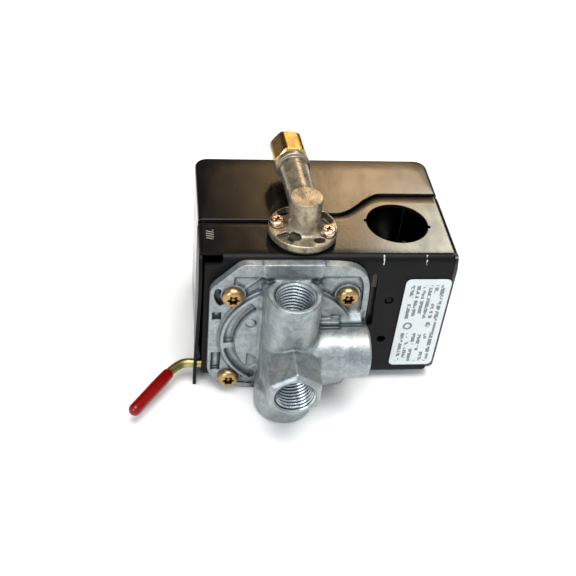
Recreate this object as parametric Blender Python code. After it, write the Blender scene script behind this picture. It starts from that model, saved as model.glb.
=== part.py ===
"""A four-port pressure switch for an air compressor, lying on its side with the tank port forward.

Sizes are in millimetres in the switch's own frame: X runs across the case from its left wall,
Y runs back from the outer face of the port plate, and Z runs up from the surface it lies on.
The meshes are scaled to metres, and one empty carries them so that the origin is under the middle.
"""

import math

import bmesh
import bpy
from mathutils import Matrix, Vector

MM = 0.001
GAP = 0.3  # clearance between neighbouring pieces

# Case
CASE_W, CASE_H, CASE_D = 89.1, 60.0, 58.6
SHEET = 1.2
PLATE_BOTTOM = 3.6  # lower face of the frame's bottom wall
COVER_CORNER = 4.8
SEAM_LEFT, SEAM_MIDDLE, SEAM_RIGHT = 20.3, 24.3, 36.2  # how far back the cover starts along the top
TONGUE = 9.0  # how far the frame reaches in under the cover
KNOCKOUT, KNOCKOUT_R = (70.3, 18.8), 11.1  # half-inch conduit knockout in the top wall

# Port manifold
DIAPHRAGM = (31.2, 26.6)  # X, Z of the diaphragm and of the middle of the four screws
SCREW_SPAN = 39.2
CROSS = (31.4, -11.0, 26.5)  # where the four port axes meet
PORT_R, PORT_DEPTH, PASSAGE_R = 6.1, 13.0, 3.2
TUBE_R, TUBE_TOP, BOSS_R, BOSS_TOP = 9.0, 53.0, 10.8, 15.0
HEX_FLATS, HEX_MOUTH = 17.6, -32.5
STUB_R, STUB_END = 9.4, 58.9
FLANGE_FACE, DOME_FACE = -3.5, -6.0
DOME_R = 23.4

# Unloader valve
VALVE = (35.6, 12.1)  # X, Y of its upright axis
VALVE_FLANGE_R, VALVE_BASE, VALVE_FACE, POST_TOP, POST_R = 11.9, 61.3, 64.0, 76.2, 5.6
ARM_Z, ARM_TURN, ARM_R, COLLAR_R = 70.8, 3.2, 5.0, 6.2
ARM_LENGTH, SPIGOT_R, SPIGOT = 26.9, 4.0, 5.5
NUT_START, NUT_LENGTH, NUT_FLATS, NUT_BORE = 27.3, 12.1, 11.9, 4.35
VALVE_SCREWS = ((26.7, 13.1), (43.6, 7.7))

# Lever
LEVER_Y, LEVER_Z, ROD_R, GRIP_R = 3.0, 6.8, 1.7, 2.3

# Mechanism
PIVOT_Y, PIVOT_Z = 3.6, 44.0
ROCKER_FACE, ROCKER_SHEET = 7.0, 1.6
STUD_R = 3.0
TERMINAL_X = (57.5, 65.5, 73.5, 81.5)

BLACK, ZINC, GOLD = (0.012, 0.013, 0.016), (0.52, 0.54, 0.56), (0.62, 0.42, 0.16)
STEEL, BRASS, BAKELITE = (0.45, 0.45, 0.46), (0.78, 0.56, 0.22), (0.05, 0.04, 0.035)
RED, RUBBER, PAPER = (0.35, 0.008, 0.015), (0.02, 0.02, 0.02), (0.78, 0.77, 0.82)

# The whole switch reaches from the lever's tip to the case's right side, and from the tank port to the
# head of the cover screw
LEVER_TIP, COVER_SCREW_TOP = -23.77, CASE_D + GAP + 2.2
ORIGIN = Vector(((LEVER_TIP + CASE_W) / 2, (HEX_MOUTH + COVER_SCREW_TOP) / 2, 0.0))


def clear_scene():
    for obj in list(bpy.data.objects):
        bpy.data.objects.remove(obj)


def mesh_from(bm):
    bmesh.ops.recalc_face_normals(bm, faces=bm.faces)
    mesh = bpy.data.meshes.new("shape")
    bm.to_mesh(mesh)
    bm.free()
    return mesh


def turned_to(axis, u, v, w):
    """A point from its two coordinates across an axis and its one along it."""
    return {"X": (w, u, v), "Y": (u, w, v), "Z": (u, v, w)}[axis]


def prism(outline, axis, low, high):
    """An outline across an axis, extruded from low to high along it."""
    bm = bmesh.new()
    start = [bm.verts.new(turned_to(axis, u, v, low)) for u, v in outline]
    end = [bm.verts.new(turned_to(axis, u, v, high)) for u, v in outline]
    bm.faces.new(start)
    bm.faces.new(end[::-1])
    for i, vert in enumerate(start):
        j = (i + 1) % len(start)
        bm.faces.new((vert, start[j], end[j], end[i]))
    return mesh_from(bm)


def box(low, high):
    corners = [(low[0], low[1]), (high[0], low[1]), (high[0], high[1]), (low[0], high[1])]
    return prism(corners, "Z", low[2], high[2])


def circle(centre, radius, sides=32, start=0.0, sweep=360.0):
    """Points round a circle, or along an arc of it when sweep is under a full turn."""
    count = sides if sweep == 360.0 else sides + 1
    angles = [math.radians(start + sweep * i / sides) for i in range(count)]
    return [(centre[0] + radius * math.cos(a), centre[1] + radius * math.sin(a)) for a in angles]


def cylinder(centre, radius, axis, low, high, sides=32):
    return prism(circle(centre, radius, sides, start=180.0 / sides), axis, low, high)


def hexagon(centre, flats, start=0.0):
    return circle(centre, flats / math.sqrt(3), 6, start)


def turned(profile, axis, centre, sides=32):
    """A profile of (radius, along) points, spun round an axis. One with no point on the axis is a ring."""
    bm = bmesh.new()
    rings = []
    for radius, along in profile:
        if radius < 1e-6:
            rings.append([bm.verts.new(turned_to(axis, *centre, along))] * sides)
        else:
            points = circle(centre, radius, sides, start=180.0 / sides)
            rings.append([bm.verts.new(turned_to(axis, u, v, along)) for u, v in points])
    pairs = list(zip(rings, rings[1:]))
    if profile[0][0] > 1e-6:
        pairs.append((rings[-1], rings[0]))
    for ring, following in pairs:
        for i in range(sides):
            j = (i + 1) % sides
            corners = [ring[i], ring[j], following[j], following[i]]
            distinct = list(dict.fromkeys(corners))
            if len(distinct) > 2:
                bm.faces.new(distinct)
    return mesh_from(bm)


def coil(mean_r, wire_r, turns, length, steps=14, sides=6):
    """A spring along +Y from the origin, its wire a closed tube."""
    bm = bmesh.new()
    rings = []
    for i in range(int(turns * steps) + 1):
        a = math.tau * i / steps
        along = wire_r + (length - 2 * wire_r) * i / (turns * steps)
        out = Vector((math.cos(a), 0, math.sin(a)))
        middle = out * mean_r + Vector((0, along, 0))
        spots = [math.tau * k / sides for k in range(sides)]
        rings.append([
            bm.verts.new(middle + out * wire_r * math.cos(s) + Vector((0, wire_r * math.sin(s), 0)))
            for s in spots
        ])
    for ring, following in zip(rings, rings[1:]):
        for k in range(sides):
            m = (k + 1) % sides
            bm.faces.new((ring[k], ring[m], following[m], following[k]))
    bm.faces.new(rings[0])
    bm.faces.new(rings[-1][::-1])
    return mesh_from(bm)


def moved(mesh, matrix):
    mesh.transform(matrix)
    return mesh


def carved(base, adds=(), cuts=()):
    """The base mesh with others joined to it and cut from it by exact Booleans."""
    target = bpy.data.objects.new("carved", base)
    bpy.context.scene.collection.objects.link(target)
    helpers = []
    for operation, meshes in (("UNION", adds), ("DIFFERENCE", cuts)):
        for mesh in meshes:
            helper = bpy.data.objects.new("cutter", mesh)
            helper.hide_render = True
            helper.display_type = "WIRE"
            bpy.context.scene.collection.objects.link(helper)
            modifier = target.modifiers.new("Boolean", "BOOLEAN")
            modifier.operation, modifier.solver, modifier.object = operation, "EXACT", helper
            helpers.append(helper)
    graph = bpy.context.evaluated_depsgraph_get()
    graph.update()
    result = bpy.data.meshes.new_from_object(target.evaluated_get(graph))
    for obj in [target, *helpers]:
        bpy.data.objects.remove(obj)
    return result


def material(name, colour, roughness, metallic):
    made = bpy.data.materials.get(name)
    if made is None:
        made = bpy.data.materials.new(name)
        made.use_nodes = True
        shader = made.node_tree.nodes["Principled BSDF"]
        shader.inputs["Base Color"].default_value = (*colour, 1)
        shader.inputs["Roughness"].default_value = roughness
        shader.inputs["Metallic"].default_value = metallic
        made.diffuse_color = (*colour, 1)
    return made


FINISHES = {
    "paint": (BLACK, 0.25, 0.0), "cast_zinc": (ZINC, 0.45, 0.9), "gold_zinc": (GOLD, 0.3, 1.0),
    "steel": (STEEL, 0.35, 1.0), "brass": (BRASS, 0.25, 1.0), "bakelite": (BAKELITE, 0.5, 0.0),
    "red_vinyl": (RED, 0.2, 0.0), "rubber": (RUBBER, 0.6, 0.0), "paper": (PAPER, 0.6, 0.0),
}


def node(name, mesh, finish, origin=(0, 0, 0)):
    """The finished sub-part: its mesh in metres, its origin at the given point, riding on the root empty."""
    mesh.transform(Matrix.Translation(-Vector(origin)))
    mesh.transform(Matrix.Scale(MM, 4))
    mesh.name = name
    obj = bpy.data.objects.new(name, mesh)
    obj.location = Vector(origin) * MM
    obj.parent = ROOT
    mesh.materials.clear()
    mesh.materials.append(material(finish, *FINISHES[finish]))
    mesh.shade_smooth()
    mesh.set_sharp_from_angle(angle=math.radians(30))
    bpy.context.scene.collection.objects.link(obj)
    return obj


def ease(t):
    t = min(max(t, 0.0), 1.0)
    return t * t * (3 - 2 * t)


def seam(x):
    """How far back the frame's top wall ends and the cover starts, at a place across the case."""
    rise = (SEAM_MIDDLE - SEAM_LEFT) * ease((x - 28.0) / 12.0)
    return SEAM_LEFT + rise + (SEAM_RIGHT - SEAM_MIDDLE) * ease((x - 49.5) / 18.0)


def seam_points(low, high, shift=0.0):
    """The seam from left to right, with points only where it curves."""
    curve = [28 + 2 * i for i in range(7)] + [49.5 + 2 * i for i in range(10)]
    return [(x, seam(x) + shift) for x in [low, *curve, high]]


def manifold_screw_places():
    half = SCREW_SPAN / 2
    return [(DIAPHRAGM[0] + i * half, DIAPHRAGM[1] + j * half) for j in (1, -1) for i in (-1, 1)]


def base_frame():
    right, top = CASE_W, CASE_H
    top_wall = prism([(0, 0), (right, 0), *seam_points(0, right)[::-1]], "Z", top - SHEET, top)
    step = SHEET + GAP  # the tongue lies one sheet and a gap inside the walls
    lip = prism(
        [*seam_points(0, right, -SHEET), *seam_points(0, right)[::-1]], "Z", top - SHEET - step, top)
    tongue = prism(
        [*seam_points(5, right - 5, -SHEET), *seam_points(5, right - 5, TONGUE)[::-1]],
        "Z", top - SHEET - step, top - step)
    port_plate = box((2.0, 0, PLATE_BOTTOM), (right, SHEET, top))
    bottom_wall = box((2.0, 0, PLATE_BOTTOM), (right, SEAM_RIGHT, PLATE_BOTTOM + SHEET))
    bottom_lip = box((5.0, 20, PLATE_BOTTOM), (right - 5, SEAM_RIGHT + TONGUE, PLATE_BOTTOM + SHEET))
    left_wall = box((0, -1.5, 0), (SHEET, SEAM_LEFT, top))
    left_step = box((0, SEAM_LEFT - SHEET, 1.5), (SHEET + step, SEAM_LEFT, top))
    left_tongue = box((step, SEAM_LEFT - SHEET, 1.5), (step + SHEET, SEAM_LEFT + TONGUE, top - step))
    right_wall = box((right - SHEET, 0, PLATE_BOTTOM), (right, SEAM_RIGHT, top))
    right_step = box((right - SHEET - step, SEAM_RIGHT - SHEET, PLATE_BOTTOM), (right, SEAM_RIGHT, top))
    right_tongue = box(
        (right - SHEET - step, SEAM_RIGHT - SHEET, PLATE_BOTTOM),
        (right - step, SEAM_RIGHT + TONGUE, top - step))
    ear = [(1.0, PIVOT_Z - 4), (PIVOT_Y + 3, PIVOT_Z - 4), (PIVOT_Y + 3, PIVOT_Z + 4), (1.0, PIVOT_Z + 4)]
    ears = [prism(ear, "X", x, x + SHEET) for x in (17.0, 44.8)]
    corner_relief = box((SHEET, -2, top - 2.6), (8.0, 2.6, top + 2))
    slot = prism(
        [*circle((61.4, 29.4), 1.0, 8, 180, 180), *circle((60.4, 51.6), 1.0, 8, 0, 180)], "Y", -1, 3)
    cuts = [
        corner_relief, slot,
        cylinder(KNOCKOUT, KNOCKOUT_R, "Z", top - 2, top + 1, 48),
        cylinder(VALVE, 4.3, "Z", top - 4, top + 1, 24),
        cylinder(DIAPHRAGM, 12.0, "Y", -1, 2, 40),
        cylinder((LEVER_Y, LEVER_Z), ROD_R + GAP, "X", -1, 2, 16),
        cylinder((PIVOT_Y, PIVOT_Z), 1.7, "X", 16, 47, 16),
        *[cylinder((67.0, z), 1.6, "Y", -1, 2, 16) for z in (40.3, 21.4)],
        *[cylinder(place, 2.2, "Y", -1, 2, 16) for place in manifold_screw_places()],
        *[cylinder(place, 1.8, "Z", top - 2, top + 1, 16) for place in VALVE_SCREWS],
    ]
    adds = [
        lip, tongue, port_plate, bottom_wall, bottom_lip, left_wall, left_step, left_tongue,
        right_wall, right_step, right_tongue, *ears]
    node("base_frame", carved(top_wall, adds, cuts), "paint")


def cover():
    inset = GAP
    low, high = inset, CASE_W - inset

    def outline(margin):
        corner = COVER_CORNER - margin
        left, right, back = low + margin, high - margin, CASE_D - margin
        return [
            *circle((right - corner, back - corner), corner, 6, 0, 90),
            *circle((left + corner, back - corner), corner, 6, 90, 90)]

    outer = prism([*seam_points(low, high, GAP), *outline(0)], "Z", 0, CASE_H)
    left, right = low + SHEET, high - SHEET
    hollow = prism([(left, 0), (right, 0), *outline(SHEET)], "Z", SHEET, CASE_H - SHEET)
    screw_hole = cylinder(DIAPHRAGM, 1.7, "Y", CASE_D - 3, CASE_D + 2, 16)
    node("cover", carved(outer, cuts=[hollow, screw_hole]), "paint")
    head, tip = CASE_D + GAP, 51.0
    profile = [
        (0, head + 2.2), (2.4, head + 2.2), (3.6, head + 1.4), (4.0, head), (1.3, head), (1.3, tip), (0, tip)]
    x, z = DIAPHRAGM
    slot = box((x - 2.6, head + 1.2, z - 0.4), (x + 2.6, head + 4, z + 0.4))
    node("cover_screw", carved(turned(profile, "Y", DIAPHRAGM, 20), cuts=[slot]), "steel")


def flange_outline():
    return [
        (3.8, 9.3), (7.3, 3.9), (16.9, 0.3), (46.0, 0.3), (54.6, 3.9), (58.6, 9.6), (58.6, 44.0),
        *circle((48.6, 49.4), 10.0, 5, 0, 90), (13.9, 59.4), (3.8, 48.7)]


def ring_sector(inner, outer, start, sweep, low, high):
    outline = [
        *circle(DIAPHRAGM, outer, 12, start, sweep), *circle(DIAPHRAGM, inner, 12, start + sweep, -sweep)]
    return prism(outline, "Y", low, high)


def port_manifold():
    x, y, z = CROSS
    flange = prism(flange_outline(), "Y", FLANGE_FACE, -GAP)
    dome = cylinder(DIAPHRAGM, DOME_R, "Y", DOME_FACE, -1, 48)
    web = prism([(20.8, -2), (23.0, y + 1), (39.8, y + 1), (42.0, -2)], "Z", 3.0, TUBE_TOP - 1.0)
    rim_relief = cylinder((x, y), TUBE_R + 0.3, "Z", TUBE_TOP, CASE_H + 2, 40)
    tube = cylinder((x, y), TUBE_R, "Z", 0, TUBE_TOP, 40)
    boss_profile = [(0, 0), (BOSS_R, 0), (BOSS_R, BOSS_TOP - 2), (TUBE_R, BOSS_TOP), (0, BOSS_TOP)]
    boss = turned(boss_profile, "Z", (x, y), 40)
    tank_hex = prism(hexagon((x, z), HEX_FLATS, 30.0), "Y", HEX_MOUTH, y + 2)
    stub = cylinder((y, z), STUB_R, "X", x, STUB_END, 40)
    stub_web = box((x, y, z - 4), (STUB_END - 1.5, FLANGE_FACE + 1, z + 4))
    adds = [dome, web, tube, boss, tank_hex, stub, stub_web]
    port_mouths = [
        cylinder((x, y), PORT_R, "Z", TUBE_TOP - PORT_DEPTH, TUBE_TOP + 1, 32),
        cylinder((x, y), PORT_R, "Z", -1, PORT_DEPTH, 32),
        cylinder((x, z), PORT_R, "Y", HEX_MOUTH - 1, HEX_MOUTH + PORT_DEPTH, 32),
        cylinder((y, z), PORT_R, "X", STUB_END - PORT_DEPTH, STUB_END + 1, 32)]
    passages = [
        cylinder((x, y), PASSAGE_R, "Z", 5, TUBE_TOP - 5, 16),
        cylinder((x, z), PASSAGE_R, "Y", HEX_MOUTH + 5, -2, 16),
        cylinder((y, z), PASSAGE_R, "X", x, STUB_END - 5, 16)]
    chamber = [
        cylinder(DIAPHRAGM, 19.0, "Y", -1.8, 1, 40), cylinder(DIAPHRAGM, 14.0, "Y", -3.4, 1, 32)]
    pockets = [ring_sector(18.9, 21.8, 128, 56, -7, -2.4), ring_sector(18.9, 21.8, 190, 48, -7, -2.4)]
    screw_holes = [cylinder(place, 2.2, "Y", -8, 1, 16) for place in manifold_screw_places()]
    cuts = [rim_relief, *port_mouths, *passages, *chamber, *pockets, *screw_holes]
    node("port_manifold", carved(flange, adds, cuts), "cast_zinc")


def pan_screw(name, axis, place, seat, outward, head_r, head_h, shank_r, reach, socket_sides, finish):
    """A screw whose head stands on seat and faces outward (+1 or -1) along its axis."""
    tip = seat - outward * reach
    top = seat + outward * head_h
    profile = [
        (0, top), (head_r * 0.62, top), (head_r * 0.93, seat + outward * head_h * 0.6), (head_r, seat),
        (shank_r, seat), (shank_r, tip), (0, tip)]
    socket = prism(
        circle(place, head_r * 0.42, socket_sides, 15), axis,
        *sorted((top + outward, top - outward * head_h * 0.6)))
    node(name, carved(turned(profile, axis, place, 20), cuts=[socket]), finish)


def manifold_screws():
    for number, place in enumerate(manifold_screw_places(), 1):
        pan_screw(
            f"manifold_screw_{number}", "Y", place, FLANGE_FACE - GAP, -1, 3.9, 2.6, 1.8, 9.0, 6, "gold_zinc")


def diaphragm():
    node("diaphragm", cylinder(DIAPHRAGM, 18.6, "Y", -1.5, -GAP, 40), "rubber")
    boss_top = ROCKER_FACE - GAP
    profile = [(0, 0), (11.4, 0), (11.4, 2.0), (4.0, 3.0), (2.4, boss_top), (0, boss_top)]
    node("diaphragm_plunger", turned(profile, "Y", DIAPHRAGM, 32), "steel", (DIAPHRAGM[0], 0, DIAPHRAGM[1]))


def main_rocker():
    back = ROCKER_FACE + ROCKER_SHEET
    plate = prism(
        [(18.6, 9.5), (51.5, 9.5), (51.5, 15.5), (44.4, 15.5), (44.4, 47.4), (18.6, 47.4)],
        "Y", ROCKER_FACE, back)
    cheeks = [box((x, 2.2, 40.2), (x + SHEET, back, 47.4)) for x in (18.6, 43.2)]
    valve_tab = box((30.0, ROCKER_FACE, 46.0), (41.0, 15.5, 47.2))
    pivot_hole = cylinder((PIVOT_Y, PIVOT_Z), 1.7, "X", 17, 46, 16)
    origin = (DIAPHRAGM[0], PIVOT_Y, PIVOT_Z)
    node("main_rocker", carved(plate, [*cheeks, valve_tab], [pivot_hole]), "steel", origin)
    node("rocker_pin", cylinder((PIVOT_Y, PIVOT_Z), 1.4, "X", 16.2, 46.8, 16), "steel")

    leg = box((46.0, back + GAP, 9.5), (51.2, 31.0, 15.5))
    bar = box((46.0, 27.6, 10.0), (84.5, 31.0, 15.0))
    node("contact_carrier", carved(leg, [bar]), "bakelite", origin)
    for number, x in enumerate((61.5, 77.5), 1):
        bridge = box((x - 6, 26.0, 11.0), (x + 6, 27.3, 14.5))
        node(f"moving_contact_{number}", bridge, "brass", origin)


def range_spring():
    seat_y = 34.5
    length = seat_y - ROCKER_FACE - ROCKER_SHEET - 2 * GAP
    spring = moved(
        coil(6.4, 0.9, 6.5, length),
        Matrix.Translation((DIAPHRAGM[0], ROCKER_FACE + ROCKER_SHEET + GAP, DIAPHRAGM[1])))
    node("range_spring", spring, "steel")
    seat = [(3.3, seat_y), (7.6, seat_y), (7.6, seat_y + 1.6), (3.3, seat_y + 1.6)]
    node("spring_seat", turned(seat, "Y", DIAPHRAGM, 32), "steel")
    collar = seat_y + 1.6 + GAP
    profile = [
        (0, 30.0), (STUD_R, 30.0), (STUD_R, collar), (5.2, collar), (5.2, collar + 2), (STUD_R, collar + 2),
        (STUD_R, 56.0), (1.6, 56.0), (1.6, 50.0), (0, 50.0)]
    node("range_stud", turned(profile, "Y", DIAPHRAGM, 24), "steel", (DIAPHRAGM[0], 40.0, DIAPHRAGM[1]))

    web_y, low, high = 43.0, 19.6, 33.6
    sheet = 1.5
    web = box((13.0, web_y, low), (50.0, web_y + sheet, high))
    legs = [box((x, SHEET + GAP, low), (x + sheet, web_y + sheet, high)) for x in (13.0, 50.0 - sheet)]
    stud_hole = cylinder(DIAPHRAGM, STUD_R + GAP, "Y", web_y - 1, web_y + 3, 24)
    node("spring_bridge", carved(web, legs, [stud_hole]), "steel")
    lock = web_y + sheet + GAP
    nut = prism(hexagon(DIAPHRAGM, 10.0), "Y", lock, lock + 4.0)
    bore = cylinder(DIAPHRAGM, STUD_R + GAP, "Y", lock - 1, lock + 5, 24)
    node("range_lock_nut", carved(nut, cuts=[bore]), "brass")


def terminal_block():
    front, face, low, high, screw_z = 3.0, 24.0, 19.0, 44.0, 31.0
    block = box((53.0, front, low), (85.6, face, high))
    barriers = [box((x - 0.6, face - 1, low + 3), (x + 0.6, face + 5, high)) for x in (61.5, 69.5, 77.5)]
    screw_bores = [cylinder((x, screw_z), 1.7, "Y", 13, face + 1, 12) for x in TERMINAL_X]
    fixing_bore = cylinder((67.0, 40.3), 1.6, "Y", front - 1, 12, 16)
    node("terminal_block", carved(block, barriers, [*screw_bores, fixing_bore]), "bakelite")
    screw = [(0, 0.2), (0.9, 0.2), (1.3, 0.7), (1.3, 11), (0, 11)]
    node("block_screw", turned(screw, "Y", (67.0, 40.3), 16), "gold_zinc")
    for number, x in enumerate(TERMINAL_X, 1):
        plate = box((x - 3.1, face + GAP, 11.5), (x + 3.1, face + 1.5, 38.0))
        bore = cylinder((x, screw_z), 1.7, "Y", face - 1, face + 3, 12)
        node(f"terminal_{number}", carved(plate, cuts=[bore]), "brass")
        pan_screw(
            f"terminal_screw_{number}", "Y", (x, screw_z), face + 1.8, 1, 2.6, 2.0, 1.4, 9.0, 4, "steel")


def valve_frame():
    """From the valve's own frame, +Z along its arm from the post's axis, to the switch's."""
    lie_back = Matrix.Rotation(math.radians(-90), 4, "X")
    turn = Matrix.Rotation(math.radians(ARM_TURN), 4, "Z")
    return Matrix.Translation((VALVE[0], VALVE[1], ARM_Z)) @ turn @ lie_back


def unloader_valve():
    x, y = VALVE
    along_arm = valve_frame()
    flange = cylinder(VALVE, VALVE_FLANGE_R, "Z", VALVE_BASE, VALVE_FACE, 48)
    post = turned(
        [(0, 52.0), (3.7, 52.0), (3.7, VALVE_BASE + 1), (6.1, VALVE_FACE), (5.7, VALVE_FACE + 1.5),
         (POST_R, VALVE_FACE + 4), (POST_R, POST_TOP - 0.4), (POST_R - 0.4, POST_TOP), (0, POST_TOP)],
        "Z", VALVE, 32)
    arm = turned(
        [(0, 0), (ARM_R, 0), (ARM_R, ARM_LENGTH - 3.4), (COLLAR_R, ARM_LENGTH - 2.6), (COLLAR_R, ARM_LENGTH),
         (SPIGOT_R, ARM_LENGTH), (SPIGOT_R, ARM_LENGTH + SPIGOT), (0, ARM_LENGTH + SPIGOT)],
        "Z", (0, 0), 32)
    air_way = cylinder((0, 0), 2.0, "Z", 0, ARM_LENGTH + 9, 16)
    windows = [
        prism(circle((x + 8.0, y + 5.6), 2.4, 12), "Z", 60, 66),
        prism(circle((x - 6.2, y + 7.4), 1.9, 12), "Z", 60, 66),
        prism(circle((x - 4.5, y - 7.6), 1.9, 12), "Z", 60, 66),
        prism(circle((x + 3.6, y - 8.6), 1.5, 12), "Z", 60, 66)]
    cuts = [
        moved(air_way, along_arm), cylinder(VALVE, 1.7, "Z", 50, 69.5, 16), *windows,
        *[cylinder(place, 1.9, "Z", 60, 66, 16) for place in VALVE_SCREWS]]
    node("unloader_valve_body", carved(flange, [post, moved(arm, along_arm)], cuts), "cast_zinc")

    gasket = cylinder(VALVE, 11.0, "Z", CASE_H + GAP, VALVE_BASE - GAP, 40)
    holes = [cylinder(place, 1.9, "Z", 59, 63, 16) for place in VALVE_SCREWS]
    holes.append(cylinder(VALVE, 4.2, "Z", 59, 63, 24))
    node("unloader_gasket", carved(gasket, cuts=holes), "rubber")
    node("unloader_pin", cylinder(VALVE, 1.4, "Z", 47.5, 66.0, 16), "steel", (x, y, 50.0))
    for number, place in enumerate(VALVE_SCREWS, 1):
        pan_screw(
            f"unloader_screw_{number}", "Z", place, VALVE_FACE + GAP, 1, 2.7, 2.0, 1.5, 8.5, 4, "gold_zinc")

    end = NUT_START + NUT_LENGTH
    nut = prism(hexagon((0, 0), NUT_FLATS), "Z", NUT_START, end)
    bores = [
        cylinder((0, 0), NUT_BORE, "Z", NUT_START - 1, ARM_LENGTH + SPIGOT + 2.9, 24),
        cylinder((0, 0), 3.3, "Z", NUT_START, end + 1, 24)]
    on_axis = along_arm.to_translation()
    node("compression_nut", moved(carved(nut, cuts=bores), along_arm), "brass", on_axis)
    start = ARM_LENGTH + SPIGOT + GAP
    section = [(3.2, start), (3.6, start), (4.0, start + 0.8), (4.0, start + 2.2), (3.2, start + 2.2)]
    sleeve = turned(section, "Z", (0, 0), 24)
    node("ferrule", moved(sleeve, along_arm), "brass")


def lever_route():
    """The rod from its inner crank, out through the left wall and round the bend to its tip."""
    bends = [((-4.4, 0.6), 2.4), ((-8.4, -2.6), 3.2)]
    tip = (-22.8, -23.4)
    inner = [(6.4, 0.0, 8.0), (6.4, 0.0, 1.6), (4.8, 0.0, 0.0)]
    points = [Vector(p) for p in inner]
    corners = [Vector((0.0, 0.0)), *[Vector(b) for b, _ in bends], Vector(tip)]
    points.append(Vector((0.0, 0.0, 0.0)))
    for before, (corner, trim), after in zip(corners, bends, corners[2:]):
        corner = Vector(corner)
        start = corner + (before - corner).normalized() * min(trim, (before - corner).length * 0.45)
        end = corner + (after - corner).normalized() * min(trim, (after - corner).length * 0.45)
        for i in range(5):
            t = i / 4
            flat = start * (1 - t) ** 2 + corner * 2 * t * (1 - t) + end * t * t
            points.append(Vector((flat.x, flat.y, 0.0)))
    points.append(Vector((tip[0], tip[1], 0.0)))
    return points


def lever():
    origin = Vector((0, LEVER_Y, LEVER_Z))
    points = lever_route()
    curve = bpy.data.curves.new("lever_rod", "CURVE")
    curve.dimensions = "3D"
    curve.bevel_depth, curve.bevel_resolution, curve.use_fill_caps = ROD_R * MM, 3, True
    spline = curve.splines.new("POLY")
    grip_end = points[-1]
    outward = (points[-1] - points[-2]).normalized()
    points[-1] = grip_end - outward * 2.0
    spline.points.add(len(points) - 1)
    for spot, point in zip(spline.points, points):
        spot.co = (*(point * MM), 1)
    curve.materials.append(material("gold_zinc", *FINISHES["gold_zinc"]))
    rod = bpy.data.objects.new("lever_rod", curve)
    rod.location, rod.parent = origin * MM, ROOT
    bpy.context.scene.collection.objects.link(rod)

    length = (grip_end - points[-2]).length + 0.6
    dome = [math.radians(a) for a in range(0, 91, 18)]
    tip = [(GRIP_R * math.cos(a), length - GRIP_R + GRIP_R * math.sin(a)) for a in dome[:-1]]
    skin = turned([(0, 0), (GRIP_R, 0), *tip, (0, length)], "Z", (0, 0), 20)
    bore = cylinder((0, 0), ROD_R + GAP, "Z", -1, length - 1.7, 16)
    aim = outward.to_track_quat("Z", "Y").to_matrix().to_4x4()
    start = origin + grip_end - outward * length
    grip = moved(carved(skin, cuts=[bore]), Matrix.Translation(start) @ aim)
    node("lever_grip", grip, "red_vinyl", origin)


def label():
    left, right, low, high, r = 71.7, 88.0, 8.2, 50.4, 2.0
    outline = [
        *circle((right - r, high - r), r, 4, 0, 90), *circle((left + r, high - r), r, 4, 90, 90),
        *circle((left + r, low + r), r, 4, 180, 90), *circle((right - r, low + r), r, 4, 270, 90)]
    node("label", prism(outline, "Y", -GAP - 0.2, -GAP), "paper")


clear_scene()
ROOT = bpy.data.objects.new("pressure_switch", None)
ROOT.location = -ORIGIN * MM
bpy.context.scene.collection.objects.link(ROOT)
base_frame()
cover()
port_manifold()
manifold_screws()
diaphragm()
main_rocker()
range_spring()
terminal_block()
unloader_valve()
lever()
label()
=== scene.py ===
# %% [markdown]
# # An air-compressor pressure switch
#
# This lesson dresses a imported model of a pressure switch: a folded steel case in black paint, a die-cast
# zinc manifold with four threaded ports, an unloader valve with a brass nut, and a hand lever in red vinyl.
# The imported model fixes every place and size, so each new piece is drawn in its own millimetres,
# measured from the case's lower left front corner, and then set down in the shared frame.

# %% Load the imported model
import math

import bmesh
import bpy
import numpy as np
from mathutils import Matrix, Vector


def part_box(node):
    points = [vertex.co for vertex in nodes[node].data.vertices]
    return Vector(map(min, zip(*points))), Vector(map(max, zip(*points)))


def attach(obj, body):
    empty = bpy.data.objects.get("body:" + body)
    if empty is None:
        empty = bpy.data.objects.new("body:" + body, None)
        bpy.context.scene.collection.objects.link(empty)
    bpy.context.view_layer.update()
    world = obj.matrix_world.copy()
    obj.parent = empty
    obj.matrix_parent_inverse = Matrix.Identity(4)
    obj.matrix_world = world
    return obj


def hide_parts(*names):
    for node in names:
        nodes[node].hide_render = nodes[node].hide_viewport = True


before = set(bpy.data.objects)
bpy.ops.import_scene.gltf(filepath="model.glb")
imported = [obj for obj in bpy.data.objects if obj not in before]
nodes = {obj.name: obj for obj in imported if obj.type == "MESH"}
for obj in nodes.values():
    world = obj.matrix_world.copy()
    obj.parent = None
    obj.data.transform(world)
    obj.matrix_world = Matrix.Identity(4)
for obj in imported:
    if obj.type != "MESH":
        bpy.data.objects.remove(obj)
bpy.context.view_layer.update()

# %% [markdown]
# The case's corner is the one fixed point that everything else is measured from. The base frame's left
# wall stands 1.5 mm proud of the plate, so the corner lies that far behind the lowest corner of its box.

# %% Millimetres on the case
MM = 0.001
CORNER = np.array(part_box("base_frame")[0]) / MM + (0, 1.5, 0)


def row(points):
    """Case millimetres to metres in the shared frame: add the case's corner, then scale."""
    return (np.asarray(points, float) + CORNER) * MM


print("case corner in mm:", np.round(CORNER, 3))

# %% [markdown]
# The camera looks down on the switch from its left, a little tilted, with no shift and no depth of field.
# Its three angles turn one forward direction and two picture axes, which are the columns of its matrix.

# %% The camera
CAMERA_AT = (-12.5, -235.9, 256.5)
DOWN, TURN, TILT = np.radians((41.22, 10.36, 6.58))
forward = np.array((math.sin(TURN) * math.cos(DOWN), math.cos(TURN) * math.cos(DOWN), -math.sin(DOWN)))
level = np.array((math.cos(TURN), -math.sin(TURN), 0.0))
upright = np.cross(level, forward)
camera_x = level * math.cos(TILT) + upright * math.sin(TILT)
camera_y = upright * math.cos(TILT) - level * math.sin(TILT)

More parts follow.
